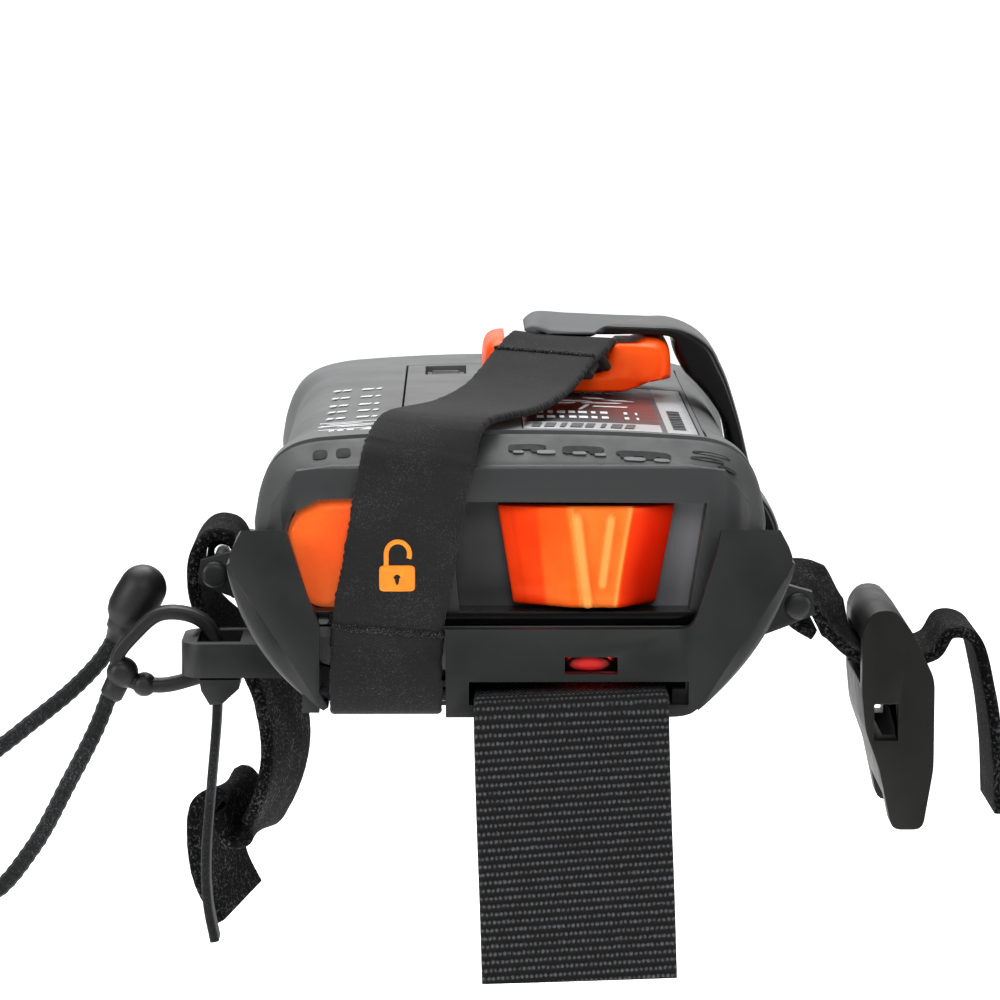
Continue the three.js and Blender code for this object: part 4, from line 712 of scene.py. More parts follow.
# ---------------------------------------------------------------- end frame, switch and corner piece
# The end frame clips into the hoop and holds the switch. The bright switch slides from side to side; it is
# faceted, leans in towards its foot and has two raised ribs, with painted light and shade on its facets. The
# corner piece is a bright domed lens with a painted glow.
def frame_finish(name):
    """Satin grey moulding whose lower lip, under the window, is polished and nearly black: partly the lip's own dark
    gloss, partly painted shade of the gap under the switch.
    """
    material, tree, shader, where = blank_finish(name)
    height = node(tree, "SeparateXYZ", {"Vector": where}).outputs["Z"]
    uneven = summed(tree, height, spread(tree, noise(tree, where, 0.01, 3), -0.00006, 0.00006))
    # Below the window the grey goes to near black: painted shade of the gap under the switch, on a polished lip.
    share = between(tree, uneven, 0.0127, 0.0136)
    dress(tree, shader, ramp(tree, share, [(0, hue("0b0b0c")), (1, hue("2a2b2c"))]),
          ramp(tree, share, [(0, grey(0.14)), (1, grey(0.46))]), noise(tree, where, 0.0004), 0.000008)
    return material


frame_grey = frame_finish("frame_satin_grey_painted_shade")
fit(rounded_copy("switch_frame", "end_frame", 0.0005), frame_grey, "cradle_and_unit", "switch_frame",
    slot="frame_grey")


def track_finish(name):
    """The plate behind the switch, with painted shade and light across it: nearly black at its left and mid grey at its
    right.
    """
    material, tree, shader, where = blank_finish(name)
    place = node(tree, "SeparateXYZ", {"Vector": where}).outputs["X"]
    # Painted shade at the plate's left, and painted light on its right facet.
    share = between(tree, place, -0.008, 0.026)
    shades = [(0.1, hue("363638")), (0.2, hue("424345")), (0.8, hue("66676a")), (1, hue("8c8d90"))]
    dress(tree, shader, ramp(tree, share, shades), spread(tree, noise(tree, where, 0.003), 0.35, 0.5),
          noise(tree, where, 0.0004), 0.00001)
    return material


refinish(track_finish("track_grey_painted_shade"), "selector_track")


def bright(name, low, high, roughness, patch=0.02, painted_glow=0.0):
    """Bright moulded plastic that lets light a little way in, in patches that go at random from a redder to a
    more orange shade, with a fine polish that varies. Its last argument is the strength of an orange glow painted
    on it, light given off though it is no lamp."""
    material, tree, shader, where = blank_finish(name, Subsurface_Weight=0.12, Subsurface_Scale=0.002,
                                                 Specular_Tint=(1, 0.4, 0.12, 1), Emission_Color=(1, 0.24, 0.07, 1),
                                                 Emission_Strength=painted_glow)
    dress(tree, shader, ramp(tree, noise(tree, where, patch, 2), [(0.3, hue(low)), (0.7, hue(high))]),
          spread(tree, noise(tree, where, 0.002, 4), roughness - 0.05, roughness + 0.08),
          noise(tree, where, 0.0003), 0.000006)
    return material


orange = bright("signal_orange", "ff3406", "ff5a14", 0.4)
knob_x, knob_low, knob_high, knob_back = 0.0098, 0.0137, 0.0267, -0.0531
plan = np.array([(-11.5, 0), (-11.5, -1.6), (-6.6, -3.3), (-2.3, -4.9), (5.3, -5.2), (8.2, -3.3), (11.5, -1.1),
                 (11.5, 0)]) / 1000
plan_run = np.r_[0, np.cumsum(np.linalg.norm(np.diff(plan, axis=0), axis=1))]
walk = np.linspace(0, plan_run[-1], 181)
plan_line = np.stack([np.interp(walk, plan_run, plan[:, i]) for i in (0, 1)], -1)
blur = np.exp(-np.linspace(-2, 2, 9) ** 2)
rounded_line = np.stack([np.convolve(np.pad(plan_line[:, i], 4, "edge"), blur / blur.sum(), "valid")
                         for i in (0, 1)], -1)
level = np.r_[0, 0.015, 0.04, np.linspace(0.08, 0.92, 44), 0.96, 0.985, 1]
edge = np.minimum(level, 1 - level) * (knob_high - knob_low)
pull = 0.0006 * (1 - np.sqrt(1 - (1 - np.clip(edge / 0.0006, 0, 1)) ** 2))
drop = 1 - level
height = knob_low + (knob_high - knob_low) * level
knob_plan_x = rounded_line[:, 0] * (1 - 0.2 * drop)[:, None] - 0.0002 * drop[:, None]
knob_depth = rounded_line[:, 1] * (1 + 0.1 * drop + 0.18 * np.exp(-((level - 0.08) / 0.1) ** 2) * (drop > 0))[:, None]


def rib(x_high, x_low, z_high, z_low, wide, rise):
    """A raised rib with round ends: a bump that falls off with the distance to a slanting line."""
    z = height[:, None]
    t = np.clip((z - z_low) / (z_high - z_low), 0, 1)
    off = np.hypot(knob_plan_x - (x_low + (x_high - x_low) * t), (z - (z_low + (z_high - z_low) * t)))
    return rise * (1 - ease((off / wide - 0.4) / 0.5))


ribs = np.maximum(rib(-0.0013, 0.0001, 0.0252, 0.0142, 0.0009, 0.0008),
                  rib(0.0031, 0.002, 0.0252, 0.0168, 0.0008, 0.0007))
depth = np.where(knob_depth < -0.0004, knob_depth + pull[:, None], knob_depth) - ribs
knob_grid = np.stack([knob_x + knob_plan_x * (1 - pull[:, None] * 30), knob_back + np.minimum(depth, 0),
                      np.broadcast_to(height[:, None], depth.shape)], -1)
knob = skin("switch_knob", knob_grid)
knob.data.set_sharp_from_angle(angle=math.radians(40))
# Painted light and shade on the switch's facets: palest on the ribs and the two ridges, darkest at the right.
reach = knob_plan_x / (0.0115 * (1 - 0.2 * drop))[:, None]
ridge_left, ridge_right = (-0.2 + 0.13 * drop)[:, None], (0.5 - 0.11 * drop)[:, None]
inside = ease((reach - ridge_left) / 0.03) * (1 - ease((reach - ridge_right) / 0.03))
lit = (0.36 + 0.24 * ease((reach + 0.6) / 0.08) * (reach < ridge_left) * (0.3 + 0.7 * drop)[:, None] + 0.34 * inside
       + 0.3 * np.exp(-((reach - ridge_left) / 0.035) ** 2) + 0.3 * np.exp(-((reach - ridge_right) / 0.03) ** 2)
       - 0.3 * ease((reach - ridge_right) / 0.3) - 0.08 * np.exp(-((reach + 0.85) / 0.02) ** 2)
       + 0.35 * np.clip(ribs / 0.0007, 0, 1))
painted_light = knob.data.attributes.new("painted_light", "FLOAT", "POINT")
painted_light.data.foreach_set("value", np.r_[lit.reshape(-1), 0.3, 0.3].astype(np.float32))


def facet_finish(name):
    """The switch's plastic, coloured by the painted light and shade that the knob carries per point: red where shade is
    painted, through orange, to a pale orange where light is painted.
    """
    material, tree, shader, where = blank_finish(name, Specular_Tint=(1, 0.35, 0.1, 1), Specular_IOR_Level=0.4)
    share = summed(tree, node(tree, "Attribute", attribute_name="painted_light").outputs["Fac"],
                   spread(tree, noise(tree, where, 0.004, 3), -0.03, 0.03))
    shades = [(0, hue("e81a04")), (0.35, hue("ff3a0c")), (0.65, hue("ff7224")), (1, hue("ffa050"))]
    dress(tree, shader, ramp(tree, share, shades), spread(tree, noise(tree, where, 0.002, 4), 0.36, 0.5),
          noise(tree, where, 0.0003), 0.000006)
    return material


fit(knob, facet_finish("switch_orange_painted_facets"), "selector", "selector_switch", slot="orange_plastic")


def domed(name, outline, back, front, radius, dome):
    """A plate whose outline (x, z) is carried forward from back to front, rounded over by radius and closed by
    a low dome. Each ring is the outline drawn in towards its middle."""
    middle = outline.mean(0)
    reach = np.linalg.norm(outline - middle, axis=1).mean()
    arc = np.linspace(0, math.pi / 2, 7)
    shrink = np.r_[0, radius * (1 - np.cos(arc)), np.linspace(radius * 1.25, reach * 0.98, 14)]
    push = np.r_[back, front + radius * (1 - np.sin(arc)) * np.sign(back - front), np.full(14, front)]
    push[8:] -= dome * np.sin(np.linspace(0, math.pi / 2, 15))[1:] * np.sign(back - front)
    ring = middle + (outline - middle) * (1 - shrink / reach)[:, None, None]
    return skin(name, np.stack([ring[..., 0], np.broadcast_to(push[:, None], ring.shape[:2]), ring[..., 1]], -1))


corner_points = np.array([(-25, 13.5), (-19, 13.5), (-19, 27.6), (-24.6, 27.4), (-27.8, 25.8), (-29, 23.4),
                          (-27.6, 17.7), (-26.6, 14.5)]) / 1000


def closed_line(points, count, soften=5):
    """The outline through the points with straight sides and softened corners."""
    line = np.r_[points, points[:1]]
    far = np.r_[0, np.cumsum(np.linalg.norm(np.diff(line, axis=0), axis=1))]
    at = np.linspace(0, far[-1], count, endpoint=False)
    line = np.stack([np.interp(at, far, line[:, i]) for i in (0, 1)], -1)
    weight = np.exp(-np.linspace(-1.6, 1.6, 2 * soften + 1) ** 2)
    shifted = np.stack([np.roll(line, k, 0) for k in range(-soften, soften + 1)])
    return np.tensordot(weight / weight.sum(), shifted, 1)


# The corner lens has a painted glow: it gives off a little orange light, though it is no lamp.
lens_with_painted_glow = bright("lens_with_painted_glow", "ff3c0a", "ff6018", 0.24, 0.01, 0.22)
fit(domed("corner_lens_dome", closed_line(corner_points, 120), -0.0531, -0.0574, 0.0012, 0.0005), lens_with_painted_glow,
    "cradle_and_unit", "corner_lens", slot="orange_plastic")


def lamp_finish(name):
    """A lit lens: clear red that gives off light, brightest in its middle."""
    material, tree, shader, where = blank_finish(name, Emission_Strength=3.0)
    place = node(tree, "SeparateXYZ", {"Vector": where}).outputs["X"]
    share = between(tree, place, 0.0075, 0.0131)
    shades = [(0, hue("500000")), (0.35, hue("ff1a10")), (0.75, hue("ff3a28")), (1, hue("600000"))]
    tree.links.new(ramp(tree, share, shades), shader.inputs["Emission Color"])
    dress(tree, shader, ramp(tree, noise(tree, where, 0.001), [(0.3, hue("c01010")), (0.7, hue("ff2016"))]))
    return material


refinish(lamp_finish("status_lens"), "status_light")


def halo_finish(name, middle, reach):
    """A lamp's diffuser: glows red in its middle and fades to dark plastic at its rim."""
    material, tree, shader, where = blank_finish(name, Emission_Strength=1.0)
    away = node(tree, "VectorMath", {0: where, 1: middle}, operation="SUBTRACT").outputs["Vector"]
    round_off = node(tree, "VectorMath", {0: away, 1: reach}, operation="DIVIDE").outputs["Vector"]
    far = node(tree, "VectorMath", {0: round_off}, operation="LENGTH").outputs["Value"]
    uneven = summed(tree, far, spread(tree, noise(tree, where, 0.0008), -0.06, 0.06))
    shades = [(0.4, hue("a81412")), (0.75, hue("7c0c0c")), (0.98, hue("0a0101"))]
    tree.links.new(ramp(tree, uneven, shades), shader.inputs["Emission Color"])
    dress(tree, shader, ramp(tree, uneven, [(0.5, hue("a01414")), (1, hue("160606"))]))
    return material


lamp_line = circle(60)
lamp_line = np.sign(lamp_line) * np.abs(lamp_line) ** 0.7 * (0.0027, 0.00092) + (0.0101, 0.0067)
fit(domed("status_diffuser", lamp_line, -0.0592, -0.0604, 0.0004, 0.0002),
    halo_finish("status_glow", (0.0101, -0.0604, 0.0067), (0.0027, 0.02, 0.00095)), "cradle_and_unit",
    slot="red_lens")
key_rubber = moulded("key_rubber", "2a2b2c", 0.55, grain=0.0003, depth=0.00001, patch=0.004)
for side in ("left", "right"):
    fit(rounded_copy(f"button_{side}", f"{side}_key_cap", 0.0005), key_rubber, f"{side}_key", f"button_{side}",
        slot="black_plastic")


# ---------------------------------------------------------------- shoulder webbing
# The harness's 25 mm polyester webbing passes through the cradle's floor and out of the slot at the switch
# end, then hangs. It is woven in ribs, each a row of round thread crossings set half a step from the last.
def strip_profile(width, thickness, columns):
    """The outline of a flat strip: straight faces with round edges, from the left edge along the top and back
    along the bottom."""
    half, r = width / 2, thickness / 2
    x = np.linspace(-half + r, half - r, columns)
    bend = np.linspace(-math.pi / 2, math.pi / 2, 7)[1:-1]
    return np.concatenate([
        np.stack([x, np.full(columns, r)], -1),
        np.stack([half - r + r * np.cos(bend[::-1]), r * np.sin(bend[::-1])], -1),
        np.stack([x[::-1], np.full(columns, -r)], -1),
        np.stack([-half + r - r * np.cos(bend), r * np.sin(bend)], -1)])


web_x, web_z, lip = 0.0077, 0.0026, -0.062
web_stops = np.array([(0, -0.019, web_z), (0, -0.038, web_z), (0, lip + 0.001, web_z), (0, lip - 0.001, web_z),
                      (0, lip - 0.0026, web_z - 0.0009), (0, lip - 0.0034, web_z - 0.0034),
                      (0.0003, lip - 0.0046, -0.012), (0.0007, lip - 0.0058, -0.023), (0.001, lip - 0.0066, -0.033)])
web_stops[:, 0] += web_x
web_route = smooth_route(web_stops, 460)
web_run = np.r_[0, np.cumsum(np.linalg.norm(np.diff(web_route, axis=0), axis=1))]
web_profile = strip_profile(0.025, 0.0010, 206)
crossing, rib_pitch = 0.00061, 0.00103
row = web_run[:, None] / rib_pitch + web_profile[None, :, 0] * 32
offset = 0.5 * (np.floor(row) % 2)
across_row = np.abs(np.sin(math.pi * (web_profile[None, :, 0] / crossing + offset)))
loose_threads = np.random.default_rng(5).normal(size=across_row.shape) * 0.07
bead = np.abs(np.sin(math.pi * row)) ** 1.5 * (0.42 + 0.58 * across_row) + loose_threads
proud = (bead - 0.4) * 0.0003 * np.sign(web_profile[None, :, 1]) * (np.abs(web_profile[None, :, 1]) > 0.0004)
web_relief = np.stack([np.broadcast_to(web_profile[:, 0], proud.shape), web_profile[:, 1] + proud], -1)
across_web = np.array((1, 0, 0.03))
webbing = skin("shoulder_web", carry(web_route, across_web, web_relief))
crests = webbing.data.attributes.new("crest", "FLOAT", "POINT")
crests.data.foreach_set("value", np.r_[bead.reshape(-1), 0, 0].astype(np.float32))


def woven(name, ground, crest):
    """Polyester webbing: the thread crossings that stand proud catch the light, painted paler as a highlight, and
    are glossier than the grooves between them, and no two threads are quite the same shade."""
    material, tree, shader, where = blank_finish(name, Specular_IOR_Level=0.35)
    high = node(tree, "Attribute", attribute_name="crest").outputs["Fac"]
    # The paler colour on the crests is a painted highlight.
    share = summed(tree, high, spread(tree, noise(tree, where, 0.0006, 2), -0.14, 0.14))
    dress(tree, shader, ramp(tree, share, [(0.3, hue(ground)), (0.55, hue(ground)), (1, hue(crest))]),
          ramp(tree, share, [(0.4, grey(0.95)), (0.95, grey(0.5))]), noise(tree, where, 0.00012, 2), 0.00002, 0.6)
    return material


fit(webbing, woven("web_weave", "0b0b0c", "47494c"), "cradle_and_unit", "shoulder_webbing", slot="webbing")
web_black = fabric("strap_black", "121314", "4c4e52", thread=0.00022, amount=0.5, fuzz=0.1)


# ---------------------------------------------------------------- retention strap
# A felted elastic strap loops round the bar under the switch end, climbs over the hoop and crosses the back
# to the hook. Each end is turned back and held by a zigzag of thick thread, and a padlock is printed on it.
def strap(name, stops, width, thickness, steps, columns=25, flutter=0.0):
    """A strap through stops of ((x, y, z), across): a flat strip carried along the smooth route, with its
    across direction eased from stop to stop and its edges a little uneven."""
    places = np.array([stop[0] for stop in stops])
    lean = np.array([stop[1] for stop in stops], float)
    route = smooth_route(places, steps)
    nearest = np.linalg.norm(route[None] - places[:, None], axis=2).argmin(1)
    nearest = np.maximum.accumulate(nearest)
    across = np.stack([np.interp(np.arange(steps), nearest, lean[:, i]) for i in range(3)], -1)
    profile = np.broadcast_to(strip_profile(width, thickness, columns), (steps, 2 * columns + 10, 2)).copy()
    loose = np.random.default_rng(steps).normal(size=(2, steps + 2))
    loose = (loose[:, :-2] + 2 * loose[:, 1:-1] + loose[:, 2:]) / 4 * flutter
    ragged = np.where(profile[..., 0] < 0, loose[0][:, None], loose[1][:, None])
    profile[..., 0] += ragged * (np.abs(profile[..., 0]) / (width / 2)) ** 8
    return skin(name, carry(route, across, profile)), route, across


strap_x, bar_y, bar_z, wrap, face = -0.0161, -0.05975, 0.0027, 0.00205, -0.05895
outer = face - 0.0014
hook_x, hook_y, hook_z = 0.0076, -0.0064, 0.0413
level_across, slant, tipped = (1, 0, 0), (0.97, -0.2, -0.03), (1, 0, -0.06)
strap_stops = [
    ((strap_x, face, 0.013), level_across), ((strap_x, face, 0.0086), level_across),
    ((strap_x, bar_y + wrap, bar_z + 0.0012), level_across),
    ((strap_x, bar_y + wrap * 0.72, bar_z - wrap * 0.72), level_across),
    ((strap_x, bar_y, bar_z - wrap), level_across),
    ((strap_x, bar_y - wrap * 0.72, bar_z - wrap * 0.72), level_across),
    ((strap_x, bar_y - wrap, bar_z + 0.0012), level_across), ((strap_x + 0.0002, outer, 0.0086), level_across),
    ((strap_x + 0.0005, outer, 0.0132), level_across), ((strap_x + 0.0014, face - 0.0005, 0.018), level_across),
    ((strap_x + 0.0026, face - 0.0002, 0.025), (1, 0, 0.03)),
    ((strap_x + 0.0039, face - 0.0003, 0.0322), (1, 0.05, 0.05)),
    ((strap_x + 0.0046, -0.0578, 0.0343), (1, -0.1, -0.1)), ((strap_x + 0.0054, -0.055, 0.0364), slant),
    ((strap_x + 0.0066, -0.0516, 0.0374), slant), ((-0.0028, -0.038, 0.0377), slant),
    ((0.0016, -0.026, 0.039), slant),
    ((0.0054, -0.0135, hook_z + 0.0009), (0.99, -0.12, -0.03)),
    ((hook_x + 0.0004, hook_y - 0.0004, hook_z + wrap + 0.0003), tipped),
    ((hook_x + 0.0004, hook_y + wrap * 0.75, hook_z + wrap * 0.7), tipped),
    ((hook_x + 0.0004, hook_y + wrap, hook_z - 0.0001), tipped),
    ((hook_x + 0.0002, hook_y + wrap * 0.6, hook_z - wrap * 0.8), tipped),
    ((hook_x, hook_y - 0.002, hook_z - wrap * 0.75), level_across), ((0.006, -0.0115, hook_z - 0.0002), level_across),
    ((0.0054, -0.0135, hook_z - 0.0004), (0.99, -0.12, -0.03)), ((0.0046, -0.017, hook_z - 0.0014), slant)]
band, band_route, band_across = strap("retention_band", strap_stops, 0.0144, 0.0011, 640, 31, 0.00011)
band.data.materials.append(fabric("felted_elastic", "222223", "505051", thread=0.00018, amount=0.3, fuzz=0.05,
                                  shine=0.1))
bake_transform(band)
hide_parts("retention_strap")


def stitch(name, at, slant, swing, body, count=47):
    """A zigzag of thick, lumpy thread on the strap's outer face, across it at one step of its route, with its
    right end slant steps further back along the strap."""
    turn = np.arange(count)
    step = at - slant * turn / (count - 1) + swing * (turn % 2 - 0.5) + 0.35 * np.sin(turn * 2.3)
    along = np.gradient(band_route, axis=0)
    outward = np.cross(band_across, along)
    outward /= np.linalg.norm(outward, axis=1, keepdims=True)
    whole = np.arange(len(band_route))
    place, side, lift = (np.stack([np.interp(step, whole, line[:, i]) for i in range(3)], -1)
                         for line in (band_route, band_across, outward))
    points = place + side * ((turn / (count - 1) - 0.5) * 0.0142)[:, None]
    points = points + lift * (0.00062 + 0.00012 * (turn[:, None] % 3 == 0))
    lumps = 1 + 0.35 * np.sin(np.linspace(0, count * 5.1, 700)) ** 2
    section = circle(8) * 0.00021 * lumps[:, None, None]
    return fit(skin(name, carry(smooth_route(points, 700), (0.3, 1, 0.2), section)), thread_black, body, slot="elastic")


thread_black = fabric("thread_black", "0c0c0d", "6b6b6c", thread=0.0002, amount=0.9, fuzz=0.1)
low_at = int((np.abs(band_route[:, 2] - 0.0116) + (band_route[:, 1] > -0.0597)).argmin())
stitch("lower_zigzag", low_at, 6, 2.4, "cradle_and_unit")
high_at = int((np.abs(band_route[:, 1] + 0.0135) + (band_route[:, 2] < hook_z)).argmin())
stitch("upper_zigzag", high_at, 8, 2.4, "hook")


lock_x, lock_z = strap_x + 0.0015, 0.0178
front_run = band_route[low_at:low_at + 80]


def on_front(points):
    """Sets points drawn at y = 0 on the strap's upright front, whose depth follows its route."""
    points[..., 1] += np.interp(points[..., 2], front_run[:, 2], front_run[:, 1]) - 0.00062
    return points


turn = np.linspace(-0.12 * math.pi, math.pi, 28)
shackle_route = np.stack([0.0001 + 0.0015 * np.cos(turn), 0 * turn, 0.0031 + 0.0016 * np.sin(turn)], -1)
shackle_route = np.concatenate([shackle_route, [[-0.0014, 0, 0.0016]]])
shackle_section = circle(10) * (0.00032, 0.00006)
print_orange = ink("strap_print", "ff8a12", 0.7)
shackle_route = on_front(shackle_route + (lock_x, 0, lock_z))
shackle = skin("padlock_shackle", carry(shackle_route, (0, 1, 0), shackle_section[:, ::-1]))
fit(shackle, print_orange, "cradle_and_unit", slot="elastic")
body_turn = circle(48)
lock_outline = np.sign(body_turn) * np.abs(body_turn) ** 0.25 * (0.0023, 0.00165)
hole_outline = body_turn * (0.00045, 0.0006) * np.where(body_turn[:, 1:] > 0, (1, 0.8), (0.6, 1.4))
plate = np.linspace(0, 1, 6)[:, None, None]
ring_plate = lock_outline * (1 - plate) + hole_outline * plate
lock_grid = on_front(np.stack([lock_x + ring_plate[..., 0], 0 * ring_plate[..., 0], lock_z + ring_plate[..., 1]], -1))
lock = skin("padlock_body", lock_grid, capped=False, facing=(0, -1, 0))
fit(thicken(lock, 0.00012), print_orange, "cradle_and_unit", slot="elastic")


# ---------------------------------------------------------------- hook and arm
# The strap's hook is one glossy bright moulding that slides under the arm's tongue. The arm is a stiff black
# lever hinged on the cradle's right wall, with a dished thumb rest on top of its tongue, painted grey there as
# a reflection of the light above.
hook_t = 0.5 - 0.5 * np.cos(np.linspace(0.02, 0.98, 110) * math.pi)
hook_at = -0.0034 + 0.0264 * (hook_t - hook_t[0]) / (hook_t[-1] - hook_t[0])
close = (1 - np.abs(2 * hook_t - 1) ** 14) ** (1 / 5)
lobe = 1 - ease((hook_at + 0.0004) / 0.0008)
block = 0.86 * ease((hook_at - 0.0126) / 0.003) + 0.14 * ease((hook_at - 0.0175) / 0.0022)
hook_turn = circle(96)
hook_round = np.sign(hook_turn) * np.abs(hook_turn) ** 0.42
hook_side = 0.0007 + hook_round[None, :, 0] * (0.0113 * close)[:, None]
cheek = ease((hook_side + 0.0109) / 0.0018) * (1 - ease((hook_side - 0.0058) / 0.002))
front_wall = 0.0014 * (1 - ease((hook_side + 0.0092) / 0.0012)) * ease((hook_at[:, None] - 0.0005) / 0.002)
hook_high = 0.0018 + front_wall + (lobe * 0.006 + block * 0.0057)[:, None] * cheek
hook_high = hook_high + 0.0004 * block[:, None] * cheek * ease((hook_at[:, None] - 0.0185) / 0.003)
# The right ear stays below the tongue, so that the hook can slide under it.
hook_high = np.minimum(hook_high, np.where(hook_at > 0.001, 0.0076, 0.01)[:, None])
hook_mid = 0.0373
hook_rise = np.where(hook_round[None, :, 1] > 0, hook_round[None, :, 1] * (hook_high - 0.0009) * close[:, None],
                     hook_round[None, :, 1] * 0.0009 * close[:, None])
lifted = (0.0021 * ease((hook_at - 0.0155) / 0.0072))[:, None] * (0.5 - 0.5 * np.tanh(hook_round[None, :, 1] * 4))
hook_grid = np.stack([np.broadcast_to(hook_at[:, None], hook_side.shape), hook_side, hook_mid + hook_rise + lifted], -1)
hook = fit(skin("hook_moulding", hook_grid), orange, "hook", "release_hook", slot="orange_plastic")
bar_round = np.stack([np.linspace(0, 0.0168, 30), np.full(30, 0.0012)], -1)
bar_round[[0, -1], 1] = 0.0009
fit(turned("hook_crossbar", bar_round, (-0.0012, -0.0064, 0.0413), (0.0156, -0.0064, 0.0413)), orange,
    "hook", slot="orange_plastic")
# The lever's outer and inner lines (x, z), paired from the tongue's tip to the hinge.
lever = np.array([
    (2.4, 45.5, 2.6, 44.2), (4, 46.3, 4.5, 44.1), (9, 46.1, 9, 44.2), (15, 45.8, 15, 44.2), (20, 45.6, 20, 44.2),
    (23.5, 45.4, 23.2, 43.7), (26.6, 44.2, 23.5, 42.4), (28.8, 42.3, 23.9, 40.8), (30.1, 39.9, 24.9, 38.9),
    (31.0, 37.8, 26.7, 37.1), (31.9, 35, 28.7, 34.7), (32.9, 31.4, 30.6, 31.5), (33.7, 28, 31.4, 28),
    (34.4, 25.3, 31.9, 25), (35.6, 22, 32.3, 22), (37.4, 19.4, 32.8, 19), (38.5, 16.4, 33.6, 16.4),
    (38.4, 13.6, 33.8, 13.6), (36.8, 12.1, 35, 12.1)]) / 1000
lines = smooth_route(lever, 170)
outside, inside = lines[:, None, :2], lines[:, None, 2:]
tip = np.sqrt(1 - (1 - np.clip(np.arange(170) / 9, 0, 1)) ** 2)[:, None]
square = circle(84)
square = np.sign(square) * np.abs(square) ** 0.34
side_share, thick_share = square[None, :, 0], square[None, :, 1]
lever_xz = (outside + inside) / 2 + (outside - inside) / 2 * (thick_share * (0.25 + 0.75 * tip))[..., None]
lever_y = 0.002 + 0.0095 * side_share * (0.8 + 0.2 * tip)
scoop = (thick_share > 0) * ease((0.0172 - lever_xz[..., 0] + 0.45 * lever_y) / 0.0022) * ease(
    (lever_xz[..., 0] - 0.0025) / 0.004)
sunk = scoop * (0.0004 * (1 - side_share ** 2) + 0.0010 * ease((0.3 - side_share) / 1.2))
lever_grid = np.stack([lever_xz[..., 0], lever_y, lever_xz[..., 1] - sunk], -1)


def lever_finish(name):
    """Hard black moulding, polished along the leg; the top of the thumb rest on the tongue is a satin, painted grey as
    a reflection of the light above.
    """
    material, tree, shader, where = blank_finish(name, Specular_IOR_Level=0.25)
    place = node(tree, "SeparateXYZ", {"Vector": where})
    fan = node(tree, "Math", {0: place.outputs["Y"], 1: -0.45, 2: place.outputs["X"]},
               operation="MULTIPLY_ADD").outputs[0]
    # The grey on top of the tongue is a painted reflection of the light above it.
    painted_reflection_fan = between(tree, fan, 0.0172, 0.0158)
    top = between(tree, place.outputs["Z"], 0.0443, 0.0448)
    share = node(tree, "Math", {0: painted_reflection_fan, 1: top}, operation="MULTIPLY").outputs[0]
    uneven = summed(tree, share, spread(tree, noise(tree, where, 0.006, 3), -0.08, 0.08))
    dress(tree, shader, ramp(tree, uneven, [(0.05, hue("0b0b0c")), (0.95, hue("5a5b5c"))]),
          ramp(tree, uneven, [(0.05, grey(0.36)), (0.95, grey(0.66))]), noise(tree, where, 0.0004), 0.00001)
    return material


fit(skin("retainer_lever", lever_grid), lever_finish("lever_black_painted_reflection"), "arm", "retainer_arm", slot="black_plastic")


# ---------------------------------------------------------------- side straps
# The chest straps are knitted elastic. The left one loops loosely round its pin and hangs with one doubled
# fold; a narrow adjuster strap hangs from its slider under the lug. The right one threads the buckle.
side_y, pin_x, pin_z = -0.022, -0.0395, 0.0144
left_line = np.array([(2.9, -3.6), (3.4, 1.4), (2.2, 4.4), (-0.4, 4.9), (-2.5, 2.6), (-3, -1.4), (-1.6, -5.6),
                      (1.8, -9.4),
                      (5.8, -14), (8.2, -19), (9, -25), (8.2, -30), (6.4, -34.4), (4.8, -36.6), (3.1, -36.2),
                      (2.5, -33.6), (1.3, -31.4), (-0.5, -32.6), (-0.9, -37), (-0.2, -42), (2.2, -47.4)]) / 1000
turned_out = np.interp(np.arange(len(left_line)), (0, 5, 9, 20), (0, 0, 0.26, 0.3))
left_stops = [((pin_x + x, side_y, pin_z + z), (out, 1 - out / 3, 0)) for (x, z), out in zip(left_line, turned_out)]
knit = fabric("knitted_elastic", "0a0a0b", "5c5c5e", thread=0.00042, amount=0.75, fuzz=0.0, shine=0.06)
left_band, _, _ = strap("left_chest_elastic", left_stops, 0.018, 0.0018, 420, 29, 0.0001)
fit(left_band, knit, "cradle_and_unit", "left_elastic_strap", slot="elastic")
tail_x, tail_y, tail_top = -0.0386, -0.0442, 0.0012
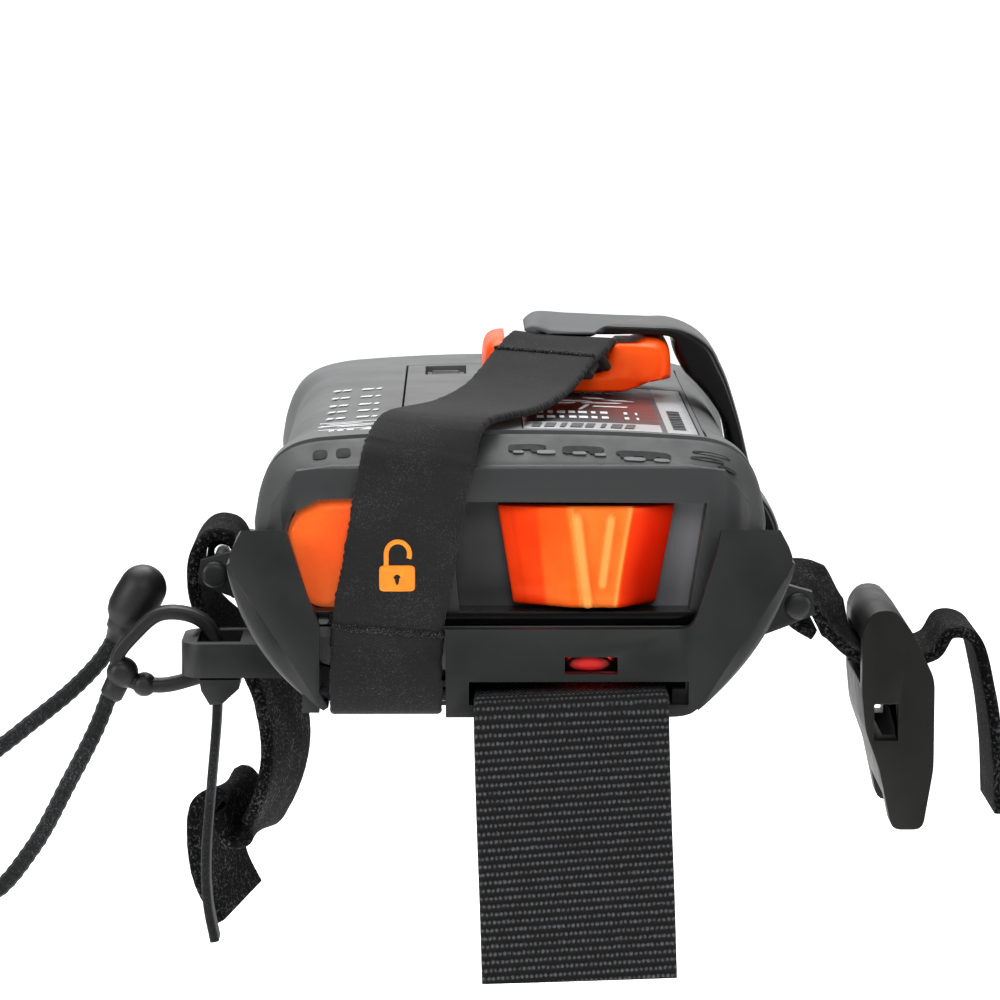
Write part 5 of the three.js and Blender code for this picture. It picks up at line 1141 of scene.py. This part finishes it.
tail_stops = [((tail_x + x, tail_y, z), (0, 1, 0)) for x, z in (
    (0, tail_top), (-0.0001, tail_top - 0.004), (-0.0009, -0.012), (-0.0017, -0.022), (-0.0015, -0.028),
    (-0.0006, -0.033))]
tail_band, _, _ = strap("adjuster_tail", tail_stops, 0.005, 0.0012, 160, 15, 0.00005)
fit(tail_band, web_black, "cradle_and_unit", "tail_strap", slot="webbing")
fit(rounded_copy("tail_slider", "adjuster_slider", 0.00035), satin_black, "cradle_and_unit", "tail_slider",
    slot="black_plastic")
right_x, right_z, loop = 0.039, 0.010, 0.0023
right_stops = [
    ((right_x + 0.0024, side_y, right_z - 0.0044), (0, 1, 0)),
    ((right_x - 0.0004, side_y, right_z - loop - 0.0003), (0, 1, 0)),
    ((right_x - loop, side_y, right_z), (0, 1, 0)), ((right_x - loop * 0.6, side_y, right_z + loop * 0.8), (0, 1, 0)),
    ((right_x + 0.0008, side_y, right_z + loop), (0, 1, 0.1)),
    ((right_x + 0.0032, side_y, right_z + 0.0008), (0.1, 1, 0.24)),
    ((right_x + 0.0056, side_y, right_z - 0.0032), (0.12, 1, 0.22)), ((0.0472, side_y, 0.0031), (0, 1, 0.04)),
    ((0.052, side_y, 0.002), (0, 1, 0)), ((0.0578, side_y, 0.0029), (0, 1, 0)), ((0.06, side_y, 0.0058), (0, 1, 0)),
    ((0.063, side_y, 0.0052), (0, 1, 0)), ((0.0654, side_y, -0.0024), (0, 1, 0)), ((0.0666, side_y, -0.011), (0, 1, 0)),
    ((0.067, side_y, -0.019), (0, 1, 0))]
right_band, _, _ = strap("right_chest_elastic", right_stops, 0.018, 0.0016, 320, 29, 0.0001)
right_band.data.materials.append(knit)
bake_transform(right_band)
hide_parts("right_elastic_strap")
buckle_brown = moulded("buckle_brown_black", "11100f", 0.5, grain=0.0005, depth=0.00001, patch=0.01, wear=0.2,
                       Specular_IOR_Level=0.25)
fit(rounded_copy("buckle_socket", "buckle_moulding", 0.0006), buckle_brown, "buckle", "buckle_socket",
    slot="black_plastic")
